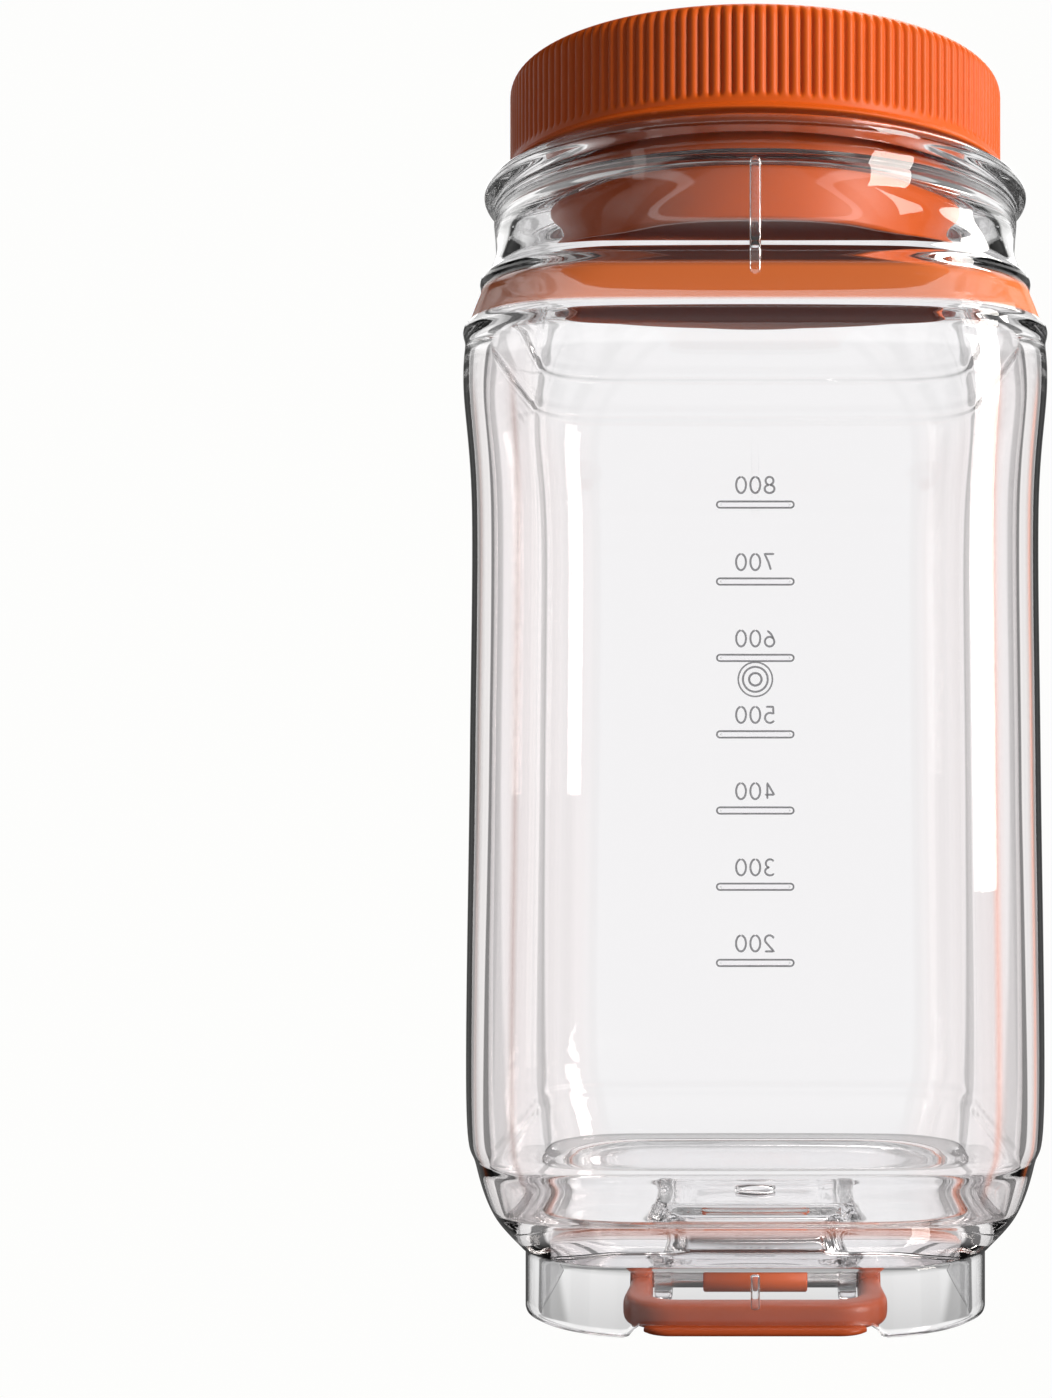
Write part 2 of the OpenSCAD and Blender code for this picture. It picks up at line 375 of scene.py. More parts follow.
def rounded_ends(count: int, share: float = 0.25) -> np.ndarray:
    """Gives a swell that closes both ends of a path like a quarter circle.

    Args:
        count: Points along the path.
        share: Part of the path that each end takes.

    Returns:
        A factor from about 0 to 1 for each point.
    """
    t = np.linspace(0.0, 1.0, count)
    near = np.clip(np.minimum(t, 1 - t) / share, 0.0, 1.0)
    return np.sqrt(np.clip(1 - (1 - near) ** 2, 0.002, 1.0))


# ---------------------------------------------------------------- finishes


class Nodes:
    """A short hand for a material's node tree."""

    def __init__(self, name: str) -> None:
        """Starts an empty material with an output.

        Args:
            name: The material's name.
        """
        self.material = bpy.data.materials.new(name)
        self.material.use_nodes = True
        self.tree = self.material.node_tree
        self.shader = self.tree.nodes["Principled BSDF"]
        self.place = self.add("ShaderNodeTexCoord").outputs["Object"]

    def add(self, kind: str, **values: object) -> bpy.types.Node:
        """Adds a node.

        Args:
            kind: Its type.
            values: Attributes, or input values whose names start with a capital.

        Returns:
            The node.
        """
        node = self.tree.nodes.new(kind)
        for key, value in values.items():
            if key[0].isupper():
                node.inputs[key.replace("_", " ")].default_value = value
            else:
                setattr(node, key, value)
        return node

    def link(self, source: bpy.types.NodeSocket, target: bpy.types.NodeSocket) -> None:
        """Joins two sockets."""
        self.tree.links.new(source, target)

    def noise(self, scale: float, detail: float = 3.0) -> bpy.types.NodeSocket:
        """Gives a noise on the object's coordinates.

        Args:
            scale: Waves in a metre.
            detail: Octaves.

        Returns:
            Its value socket.
        """
        node = self.add("ShaderNodeTexNoise", Scale=scale, Detail=detail)
        self.link(self.place, node.inputs["Vector"])
        return node.outputs["Fac"]

    def ramp(self, source: bpy.types.NodeSocket, low: float, high: float) -> bpy.types.NodeSocket:
        """Maps a 0 to 1 value to a range.

        Args:
            source: The value.
            low: Result at 0.
            high: Result at 1.

        Returns:
            The mapped value.
        """
        node = self.add("ShaderNodeMapRange", To_Min=low, To_Max=high)
        self.link(source, node.inputs["Value"])
        return node.outputs["Result"]

    def bump(self, source: bpy.types.NodeSocket, strength: float, depth: float) -> bpy.types.NodeSocket:
        """Turns a height into a normal.

        Args:
            source: The height.
            strength: How much of it shows.
            depth: Its size in metres.

        Returns:
            The normal.
        """
        node = self.add("ShaderNodeBump", Strength=strength, Distance=depth)
        self.link(source, node.inputs["Height"])
        return node.outputs["Normal"]


@dataclass
class Wiring:
    """Adds sums to a node tree."""

    tree: bpy.types.NodeTree

    def add(self, kind: str, **values: object) -> bpy.types.Node:
        """Adds a node and sets its attributes."""
        node = self.tree.nodes.new(kind)
        for key, value in values.items():
            setattr(node, key, value)
        return node

    def link(self, source: bpy.types.NodeSocket, target: bpy.types.NodeSocket) -> None:
        """Joins two sockets."""
        self.tree.links.new(source, target)

    def feed(self, value: bpy.types.NodeSocket | float, target: bpy.types.NodeSocket) -> None:
        """Sets an input from a socket or a number."""
        if isinstance(value, bpy.types.NodeSocket):
            self.link(value, target)
        else:
            target.default_value = value

    def maths(self, sort: str, *values: bpy.types.NodeSocket | float) -> bpy.types.NodeSocket:
        """Works out a sum.

        Args:
            sort: The Math node's operation.
            values: Its inputs.

        Returns:
            The result.
        """
        node = self.add("ShaderNodeMath", operation=sort)
        for value, target in zip(values, node.inputs):
            self.feed(value, target)
        return node.outputs[0]

    def mix(self, share: bpy.types.NodeSocket, first: bpy.types.NodeSocket | float,
            second: bpy.types.NodeSocket | float) -> bpy.types.NodeSocket:
        """Blends two numbers.

        Args:
            share: Part of the second.
            first: Result at share 0.
            second: Result at share 1.

        Returns:
            The blend.
        """
        node = self.add("ShaderNodeMix", data_type="FLOAT")
        for value, target in zip((share, first, second), (node.inputs[0], node.inputs[2], node.inputs[3])):
            self.feed(value, target)
        return node.outputs[0]

    def band(self, source: bpy.types.NodeSocket, low: float, high: float, start: float,
             end: float) -> bpy.types.NodeSocket:
        """Steps smoothly from one value to another.

        Args:
            source: What is read.
            low: Where the step starts.
            high: Where it ends.
            start: Value before the step.
            end: Value after it.

        Returns:
            The stepped value.
        """
        node = self.add("ShaderNodeMapRange", interpolation_type="SMOOTHSTEP")
        for value, target in zip((source, low, high, start, end), node.inputs):
            self.feed(value, target)
        return node.outputs[0]


@dataclass(frozen=True)
class ClearPlastic:
    """Polished clear copolyester with the faint waves of a moulded wall.

    Two point attributes paint light into its colour, and it stays when the cap is off: a painted orange
    reflection of the orange parts mixes an orange diffuse share into the outward face, and a painted warm
    reflection warms the tint of the corners.
    """

    name: str = "clear_copolyester"
    tint: tuple[float, float, float] = (0.985, 0.98, 0.99)
    index: float = 1.52
    wave_scale: float = 22.0
    wave_depth: float = 0.0006
    veil: float = 0.93
    # Colour of the painted orange reflection of the orange parts.
    orange: tuple[float, float, float] = (0.86, 0.21, 0.06)
    # Tint of the painted warm reflection in the corners below the shoulder.
    blush: tuple[float, float, float] = (0.98, 0.94, 0.945)

    def make(self) -> bpy.types.Material:
        """Returns the material."""
        nodes = Nodes(self.name)
        shader = nodes.shader
        kit = Wiring(nodes.tree)
        painted_reflection = nodes.add("ShaderNodeAttribute", attribute_name=PAINTED_REFLECTION_ATTRIBUTE).outputs["Fac"]
        corner = nodes.add("ShaderNodeAttribute", attribute_name=PAINTED_CORNER_ATTRIBUTE).outputs["Fac"]
        back = nodes.add("ShaderNodeNewGeometry").outputs["Backfacing"]
        # The painted warm reflection of the corners tints the plastic.
        colour = nodes.add("ShaderNodeMixRGB", Color1=(*self.tint, 1.0), Color2=(*self.blush, 1.0))
        nodes.link(corner, colour.inputs["Fac"])
        nodes.link(colour.outputs["Color"], shader.inputs["Base Color"])
        shader.inputs["Transmission Weight"].default_value = 1.0
        shader.inputs["IOR"].default_value = self.index
        haze = nodes.ramp(nodes.noise(160.0), 0.0, 0.012)
        nodes.link(haze, shader.inputs["Roughness"])
        nodes.link(nodes.bump(nodes.noise(self.wave_scale, 2.0), 0.12, self.wave_depth),
                   shader.inputs["Normal"])
        path = nodes.add("ShaderNodeLightPath")
        soft = nodes.add("ShaderNodeMath", operation="MAXIMUM")
        nodes.link(path.outputs["Is Shadow Ray"], soft.inputs[0])
        nodes.link(path.outputs["Is Diffuse Ray"], soft.inputs[1])
        through = nodes.add("ShaderNodeBsdfTransparent", Color=(self.veil, self.veil, self.veil, 1.0))
        mix = nodes.add("ShaderNodeMixShader")
        glow = nodes.add("ShaderNodeBsdfDiffuse", Color=(*self.orange, 1.0))
        lit = nodes.add("ShaderNodeMixShader")
        # The painted orange reflection shows on outward faces only, as an orange diffuse share.
        nodes.link(kit.mix(back, painted_reflection, 0.0), lit.inputs[0])
        nodes.link(shader.outputs[0], lit.inputs[1])
        nodes.link(glow.outputs[0], lit.inputs[2])
        nodes.link(soft.outputs[0], mix.inputs[0])
        nodes.link(lit.outputs[0], mix.inputs[1])
        nodes.link(through.outputs[0], mix.inputs[2])
        nodes.link(mix.outputs[0], nodes.tree.nodes["Material Output"].inputs["Surface"])
        return nodes.material


@dataclass(frozen=True)
class OrangePlastic:
    """Satin polypropylene: cloudy pigment, a fine spark-eroded grain and softly worn high spots."""

    name: str
    colour: tuple[float, float, float] = (0.78, 0.118, 0.008)
    roughness: float = 0.42
    grain: float = 0.25

    def make(self) -> bpy.types.Material:
        """Returns the material."""
        nodes = Nodes(self.name)
        shader = nodes.shader
        cloud = nodes.add("ShaderNodeMixRGB", blend_type="MIX")
        cloud.inputs["Color1"].default_value = (*(c * 0.9 for c in self.colour), 1.0)
        cloud.inputs["Color2"].default_value = (*(min(1.0, c * 1.08) for c in self.colour), 1.0)
        nodes.link(nodes.noise(55.0, 4.0), cloud.inputs["Fac"])
        worn = nodes.add("ShaderNodeMixRGB", blend_type="MIX")
        worn.inputs["Color2"].default_value = (*(min(1.0, c * 1.2 + 0.03) for c in self.colour), 1.0)
        edge = nodes.add("ShaderNodeNewGeometry").outputs["Pointiness"]
        wear = nodes.add("ShaderNodeMapRange", From_Min=0.52, From_Max=0.62, To_Min=0.0, To_Max=0.55)
        nodes.link(edge, wear.inputs["Value"])
        nodes.link(wear.outputs["Result"], worn.inputs["Fac"])
        nodes.link(cloud.outputs["Color"], worn.inputs["Color1"])
        nodes.link(worn.outputs["Color"], shader.inputs["Base Color"])
        nodes.link(nodes.ramp(nodes.noise(240.0), self.roughness - 0.06, self.roughness + 0.08),
                   shader.inputs["Roughness"])
        nodes.link(nodes.bump(nodes.noise(5200.0, 2.0), self.grain, 0.00004), shader.inputs["Normal"])
        shader.inputs["IOR"].default_value = 1.49
        shader.inputs["Specular IOR Level"].default_value = 0.25
        return nodes.material


@dataclass(frozen=True)
class PinSteel:
    """Drawn stainless rod with fine rings left by the die."""

    name: str = "drawn_steel"
    colour: tuple[float, float, float] = (0.6, 0.6, 0.61)

    def make(self) -> bpy.types.Material:
        """Returns the material."""
        nodes = Nodes(self.name)
        shader = nodes.shader
        shader.inputs["Base Color"].default_value = (*self.colour, 1.0)
        shader.inputs["Metallic"].default_value = 1.0
        stretch = nodes.add("ShaderNodeMapping")
        stretch.inputs["Scale"].default_value = (40.0, 4000.0, 4000.0)
        nodes.link(nodes.place, stretch.inputs["Vector"])
        lines = nodes.add("ShaderNodeTexNoise", Scale=1.0, Detail=3.0)
        nodes.link(stretch.outputs["Vector"], lines.inputs["Vector"])
        nodes.link(nodes.ramp(lines.outputs["Fac"], 0.2, 0.38), shader.inputs["Roughness"])
        nodes.link(nodes.bump(lines.outputs["Fac"], 0.3, 0.00002), shader.inputs["Normal"])
        return nodes.material


@dataclass(frozen=True)
class SealSilicone:
    """Milky soft silicone with a dull skin."""

    name: str = "seal_silicone"
    colour: tuple[float, float, float] = (0.83, 0.81, 0.77)

    def make(self) -> bpy.types.Material:
        """Returns the material."""
        nodes = Nodes(self.name)
        shader = nodes.shader
        shader.inputs["Base Color"].default_value = (*self.colour, 1.0)
        shader.inputs["Subsurface Weight"].default_value = 0.3
        shader.inputs["Subsurface Radius"].default_value = (0.002, 0.002, 0.0018)
        shader.inputs["Subsurface Scale"].default_value = 1.0
        nodes.link(nodes.ramp(nodes.noise(300.0), 0.45, 0.6), shader.inputs["Roughness"])
        nodes.link(nodes.bump(nodes.noise(1800.0), 0.2, 0.00003), shader.inputs["Normal"])
        return nodes.material


# ---------------------------------------------------------------- bottle


@dataclass
class BottleSizes:
    """Sizes of the clear body in millimetres, taken from the CAD boxes where they give them."""

    shoulder_half: float
    foot_half: float
    rim_z: float
    wall: float = 3.4
    foot_h: float = 11.0
    floor_z: float = 18.0
    floor_t: float = 3.0
    corner: float = 18.0
    dome_r: float = 44.4
    flange_r: float = 46.0
    mouth_r: float = 34.5
    neck_wall: float = 2.5
    waist_drop: float = 1.4
    bead_h: float = 0.75
    bead_spread: float = 1.35
    weld_gap: float = 0.08
    flange_drop: float = 14.1
    shoulder_drop: float = 51.6

    @property
    def waist_half(self) -> float:
        """Half width at mid height."""
        return self.shoulder_half - self.waist_drop

    @property
    def flange_top(self) -> float:
        """Top of the flange."""
        return self.rim_z - self.flange_drop

    @property
    def shoulder_z(self) -> float:
        """Height of the widest place."""
        return self.rim_z - self.shoulder_drop

    @classmethod
    def from_frame(cls) -> "BottleSizes":
        """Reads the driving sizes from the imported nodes."""
        _, high = node_box("bottle_body")
        return cls(shoulder_half=float(high[0]), foot_half=float(node_box("base_cup")[1][0]),
                   rim_z=float(high[2]))


@dataclass
class ClearBody:
    """Walls, beads, dome, flange and threaded neck as one closed skin."""

    sizes: BottleSizes
    section: SquareSection = field(default_factory=SquareSection)
    lead: float = 12.0
    starts: int = 3
    thread_h: float = 1.7
    # Strengths of the painted orange reflection of the cap: in the band between the beads, and in the streaks
    # beside the corners.
    collar: float = 0.8
    streak: float = 0.4
    streak_turn: float = 14.0
    streak_spread: float = 1.8

    def outer_rows(self) -> np.ndarray:
        """Returns height, half width and corner radius up the outside, from the foot to the dome."""
        s = self.sizes
        z, a, c = s.shoulder_z, s.shoulder_half, s.corner
        rows = flow(np.array([
            [s.foot_h + s.weld_gap, s.foot_half + 0.6, c],
            [s.foot_h + 6, s.waist_half - 3, c],
            [s.foot_h + 14, s.waist_half - 0.6, c],
            [s.foot_h + 25, s.waist_half + 0.8, c],
            [z - 60, s.waist_half + 0.3, c],
            [z - 20, s.waist_half, c],
            [z, a - 0.1, c + 1],
            [z + 9, a - 0.9, c + 2],
            [z + 16, a - 2.6, c + 5],
            [z + 22, a - 3.8, c + 10],
            [z + 27, s.dome_r - 0.6, s.dome_r - 4],
            [z + 31, s.dome_r, s.dome_r]]), 12)
        for middle in (z + 8, z + 17):
            rows[:, 1] += s.bead_h * np.exp(-((rows[:, 0] - middle) / s.bead_spread) ** 2)
        rows[:, 1] = np.minimum(rows[:, 1], a)
        return rows

    def inner_rows(self) -> np.ndarray:
        """Returns the rows up the inside, from the floor's weld to the dome."""
        s = self.sizes
        z, a, c, w = s.shoulder_z, s.shoulder_half, s.corner, s.wall
        plug = s.foot_half - 3
        return flow(np.array([
            [s.foot_h + s.weld_gap, plug, c - 3],
            [s.floor_z - 0.4, plug, c - 3],
            [s.floor_z, plug + 0.6, c - 3],
            [s.floor_z + 0.1, plug + 4.9, c - 3],
            [s.floor_z + 0.9, plug + 5.6, c - 3],
            [s.floor_z + 6, plug + 6.5, c - w],
            [s.floor_z + 17, s.waist_half + 0.8 - w, c - w],
            [z - 60, s.waist_half + 0.3 - w, c - w],
            [z - 20, s.waist_half - w, c - w],
            [z, a - 0.1 - w, c - w + 1],
            [z + 12, a - 1.7 - w, c - w + 3],
            [z + 22, a - 4.2 - w, c - w + 10],
            [z + 30, s.dome_r - w, s.dome_r - w]]), 9)

    def neck_rows(self) -> np.ndarray:
        """Returns radius and height over the flange, up the neck, over the rim and down the bore."""
        s = self.sizes
        top = s.flange_top
        neck = s.mouth_r + s.neck_wall
        lens = [(s.dome_r, top - 5.2), (s.dome_r + 0.15, top - 4.4), (s.flange_r - 0.9, top - 3.6),
                (s.flange_r - 0.15, top - 2.6), (s.flange_r, top - 1.9), (s.flange_r - 0.2, top - 1.2),
                (s.flange_r - 1.0, top - 0.45), (s.flange_r - 2.6, top), (neck + 2.2, top + 0.1),
                (neck + 0.6, top + 0.3), (neck, top + 0.9)]
        neck_side = polyline([(neck, top + 1.0), (neck, s.rim_z - 0.8)], 0.32)
        rim_turn = np.linspace(0.0, np.pi, 9)
        half_rim = s.neck_wall / 2
        rim = np.stack([s.mouth_r + half_rim + half_rim * np.cos(rim_turn),
                        s.rim_z - 0.8 + 0.8 * np.sin(rim_turn)], axis=1)
        bore = polyline([(s.mouth_r, s.rim_z - 1.2), (s.mouth_r, top - 2.8)], 1.5)
        under = flow(np.array([[s.mouth_r, top - 3.2], [s.mouth_r + 1.0, top - 4.2],
                               [s.dome_r - s.wall - 2.5, top - 4.9], [s.dome_r - s.wall - 0.5, top - 6.2]]), 4)
        return np.vstack([flow(np.array(lens), 3), neck_side, rim, bore, under])

    def thread(self, xyz: np.ndarray) -> np.ndarray:
        """Raises the right-hand thread out of the neck.

        The height over the neck is a flat-topped ridge of the distance, along Z, from the nearest of
        the helices z = z0 + lead * angle / turn, faded out at both ends of each start.

        Args:
            xyz: The neck's grid.

        Returns:
            The grid with the ridges.
        """
        s = self.sizes
        neck = s.mouth_r + s.neck_wall
        angle = np.arctan2(xyz[..., 1], xyz[..., 0])
        radius = np.hypot(xyz[..., 0], xyz[..., 1])
        z0 = s.flange_top + 3.9 - self.lead * math.radians(THREAD_TURN) / (2 * np.pi)
        pitch = self.lead / self.starts
        turn = (xyz[..., 2] - z0) / self.lead - angle / (2 * np.pi)
        nearest = np.round(turn * self.starts) / self.starts
        away = np.abs(turn - nearest) * self.lead
        along = (xyz[..., 2] - z0) / self.lead
        ridge = smooth_step(away, 1.25, 0.45)
        fade = smooth_step(along, -0.02, 0.03) * smooth_step(along, 0.56, 0.5)
        on_neck = np.abs(radius - neck) < 0.05
        lift = np.where(on_neck, self.thread_h * ridge * fade, 0.0)
        lift[away > pitch / 2] = 0.0
        return radially(xyz, lift)

    def build(self, finish: bpy.types.Material) -> bpy.types.Object:
        """Makes the skin: outside up, neck, then inside down, joined into one closed surface.

        Args:
            finish: The clear plastic.

        Returns:
            The piece.
        """
        neck = self.neck_rows()
        neck_grid = np.stack([neck[:, 1], neck[:, 0], neck[:, 0]], axis=1)
        rows = np.vstack([self.outer_rows(), neck_grid, self.inner_rows()[::-1]])
        xyz = self.thread(self.section.loft(rows))
        mesh = Mesh()
        mesh.grid(xyz, loop_rows=True, light=self.light(rows, len(self.outer_rows())))
        piece = mesh.build("clear_walls", finish, Body.BOTTLE, Slot.BODY)
        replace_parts(piece, "bottle_body")
        return piece

    def light(self, rows: np.ndarray, outside: int) -> np.ndarray:
        """Places the wall's painted orange reflection of the cap and its painted warm reflection in the corners.

        The painted orange reflection is strongest on the outside between the two beads, with a thin painted
        streak at a fixed turn to both sides of each corner's middle. The painted corner reflection is where |sin
        2a| of the normal angle nears 1.

        Args:
            rows: Height, half width and corner radius of every row.
            outside: Number of rows on the outside.

        Returns:
            Both values at every point.
        """
        s = self.sizes
        z = rows[:, 0]
        # Painted orange reflection of the cap in the band between the beads, on the outside only.
        collar = smooth_step(z, s.shoulder_z + 8.9, s.shoulder_z + 9.7)
        collar = collar * smooth_step(z, s.shoulder_z + 15.4, s.shoulder_z + 14.6)
        collar[outside:] = 0.0
        # Painted warm reflection in the corners, below the shoulder.
        corner = smooth_step(np.abs(np.sin(2 * self.section.angles())), 0.25, 0.9)
        low = smooth_step(z, s.shoulder_z + 12, s.shoulder_z - 4)
        # Painted orange streaks beside each corner's middle, on the outside between floor and shoulder.
        bearing = np.degrees(self.section.angles()) % 90.0
        streak = np.exp(-((np.abs(bearing - 45.0) - self.streak_turn) / self.streak_spread) ** 2)
        side = smooth_step(z, s.floor_z + 2, s.floor_z + 10)
        side = side * smooth_step(z, s.shoulder_z + 2, s.shoulder_z - 8)
        side[outside:] = 0.0
        painted_reflection = self.collar * collar[:, None] + self.streak * side[:, None] * streak[None, :]
        return np.stack([painted_reflection, low[:, None] * corner[None, :]], axis=-1)

    def surface_y(self, height: np.ndarray) -> np.ndarray:
        """Gives the rear wall's distance from the axis.

        Args:
            height: Heights in millimetres.

        Returns:
            The half width at each height.
        """
        rows = self.outer_rows()
        return np.interp(height, rows[:, 0], rows[:, 1])


@dataclass
class Marks:
    """Moulded graduation figures and bars on the rear wall, gate marks and mould lines."""

    body: ClearBody
    first_z: float = 50.2
    spacing: float = 14.7
    bar_half: float = 6.8
    bar_tall: float = 0.62
    proud: float = 0.33
    lift: float = 0.03
    digit_w: float = 1.9
    digit_h: float = 3.1
    digit_gap: float = 0.85
    stroke: float = 0.2
    outline: float = 0.17
    levels: tuple[int, ...] = (200, 300, 400, 500, 600, 700, 800)

    @staticmethod
    def arc(cx: float, cy: float, rx: float, ry: float, start: float, end: float, count: int) -> np.ndarray:
        """Gives an elliptic arc in the unit square of a figure.

        Args:
            cx: Centre across.
            cy: Centre up.
            rx: Radius across.
            ry: Radius up.
            start: First angle in degrees.
            end: Last angle in degrees.
            count: Points.

        Returns:
            Points across and up.
        """
        a = np.radians(np.linspace(start, end, count))
        return np.stack([cx + rx * np.cos(a), cy + ry * np.sin(a)], axis=1)

    def figure(self, digit: str) -> list[np.ndarray]:
        """Draws a figure as strokes in a unit square.

        Args:
            digit: One character from 0 to 8.

        Returns:
            Its strokes.
        """
        arc = self.arc
        line = np.array
        shapes = {
            "0": [arc(0.5, 0.5, 0.5, 0.5, 90, 450, 25)],
            "2": [np.vstack([arc(0.5, 0.72, 0.46, 0.28, 165, -25, 14), line([[0.06, 0.0], [1.0, 0.0]])])],
            "3": [arc(0.45, 0.74, 0.43, 0.26, 150, -85, 14), arc(0.45, 0.25, 0.5, 0.25, 85, -150, 16)],
            "4": [line([[0.72, 0.0], [0.72, 0.5], [0.72, 1.0], [0.36, 0.62], [0.02, 0.28], [0.5, 0.28],
                        [1.0, 0.28]])],
            "5": [np.vstack([line([[0.9, 1.0], [0.14, 1.0], [0.1, 0.58]]),
                             arc(0.46, 0.31, 0.5, 0.31, 115, -150, 16)])],
            "6": [np.vstack([line([[0.75, 1.0], [0.35, 0.78]]), arc(0.5, 0.3, 0.48, 0.3, 150, 510, 25)])],
            "7": [line([[0.0, 1.0], [0.5, 1.0], [1.0, 1.0], [0.62, 0.5], [0.36, 0.0]])],
            "8": [arc(0.5, 0.75, 0.4, 0.25, -90, 270, 19), arc(0.5, 0.25, 0.5, 0.25, 90, 450, 21)],
        }
        return shapes[digit]

    def on_wall(self, across: np.ndarray, height: np.ndarray, out: float) -> np.ndarray:
        """Places flat points on the rear wall, to be read from behind.

        Args:
            across: Distance to the reader's right.
            height: Height.
            out: Distance out from the wall's face.

        Returns:
            Points in the row frame.
        """
        return np.stack([-across, self.body.surface_y(height) + out - across ** 2 / 700.0, height], axis=1)

    def add_stroke(self, mesh: Mesh, points: np.ndarray, wide: float, out: float, share: float) -> None:
        """Adds one low rounded stroke.

        Args:
            mesh: Where it goes.
            points: Its middle line in the row frame.
            wide: Half width.
            out: Half height over the wall.
            share: Part of its length that each round end takes.
        """
        swell = rounded_ends(len(points), share)
        mesh.grid(swept(points, wide * swell, out * np.sqrt(swell), np.array([0.0, 1.0, 0.0]), 4.0, 16, 0.0))

    def add_ring(self, mesh: Mesh, across: np.ndarray, height: np.ndarray, wide: float) -> None:
        """Adds a closed stroke.

        Args:
            mesh: Where it goes.
            across: Distances to the reader's right, round the ring.
            height: Heights, round the ring.
            wide: Half width of the stroke.
        """
        ring = self.on_wall(across, height, self.lift)
        closed = np.vstack([ring[-1:], ring, ring[:1]])
        flat = np.full(len(closed), wide)
        grid = swept(closed, flat, np.full(len(closed), self.proud), np.array([0.0, 1.0, 0.0]), 2.4, 12, 0.0)
        mesh.grid(grid[1:-1], loop_rows=True)

    def build(self, finish: bpy.types.Material, edge: bpy.types.Material) -> None:
        """Makes the figures, bars, gate marks and mould lines.

        Args:
            finish: The clear plastic.
            edge: The darkened clear plastic that paints the shade of the marks' steep sides.
        """
        figures, bars, shade_rings = Mesh(), Mesh(), Mesh()
        bend = np.radians(np.linspace(-90, 90, 9))
        capsule_x = np.concatenate([self.bar_half + self.bar_tall * np.cos(bend),
                                    -self.bar_half - self.bar_tall * np.cos(bend)])
        capsule_z = np.concatenate([self.bar_tall * np.sin(bend), -self.bar_tall * np.sin(bend)])
        advance = self.digit_w + self.digit_gap
        for n, level in enumerate(self.levels):
            z = self.first_z + n * self.spacing
            across = np.linspace(-self.bar_half, self.bar_half, 41)
            self.add_stroke(bars, self.on_wall(across, np.full_like(across, z), self.lift),
                            self.bar_tall - self.outline, self.proud, 0.05)
            self.add_ring(shade_rings, capsule_x, z + capsule_z, self.outline)
            for k, digit in enumerate(str(level)):
                left = (k - 1) * advance - self.digit_w / 2
                for stroke in self.figure(digit):
                    line = polyline([tuple(p) for p in stroke * [self.digit_w, self.digit_h]], 0.25)
                    points = self.on_wall(line[:, 0] + left, line[:, 1] + z + 2.2, self.lift)
                    self.add_stroke(figures, points, self.stroke, self.proud, 0.03)
        # The figures and the rings round the bars are made of the darkened plastic, a painted shade of their
        # steep sides.
        figures.build("graduation_figures", edge, Body.BOTTLE, Slot.BODY)
        bars.build("graduation_bars", finish, Body.BOTTLE, Slot.BODY)
        shade_rings.build("graduation_painted_shade_rings", edge, Body.BOTTLE, Slot.BODY)
        self.build_gate(edge)
        self.build_mould_lines(finish)

    def build_gate(self, finish: bpy.types.Material) -> None:
        """Makes the round injection gate mark between two graduations.

        Args:
            finish: The darkened clear plastic that paints the shade of the rings' steep sides.
        """
        z = self.first_z + 3.72 * self.spacing
        mesh = Mesh()
        turn = np.linspace(0.0, 2 * np.pi, 49)[:-1]
        for radius, thick in ((3.3, 0.16), (2.4, 0.2), (1.2, 0.22)):
            self.add_ring(mesh, -radius * np.cos(turn), z + radius * np.sin(turn), thick)
        mesh.build("gate_mark", finish, Body.BOTTLE, Slot.BODY)

    def build_mould_lines(self, finish: bpy.types.Material) -> None:
        """Makes the upright mould line on the front of the dome and a short one on the foot.

        Args:
            finish: The clear plastic.
        """
        s = self.body.sizes
        mesh = Mesh()
        lines = ((s.shoulder_z + 13, s.flange_top - 6.5, 0.85), (s.foot_h - 6.5, s.foot_h - 1, 0.7))
        for low, high, wide in lines:
            height = np.linspace(low, high, 40)
            reach = self.body.surface_y(height) if low > s.foot_h else np.full(40, s.foot_half)
            points = np.stack([np.zeros(40), -reach + 0.1, height], axis=1)
            swell = rounded_ends(40, 0.06)
            mesh.grid(swept(points, wide * swell, 0.34 * swell, np.array([0.0, -1.0, 0.0]), 2.6, 12))
        mesh.build("mould_lines", finish, Body.BOTTLE, Slot.BODY)


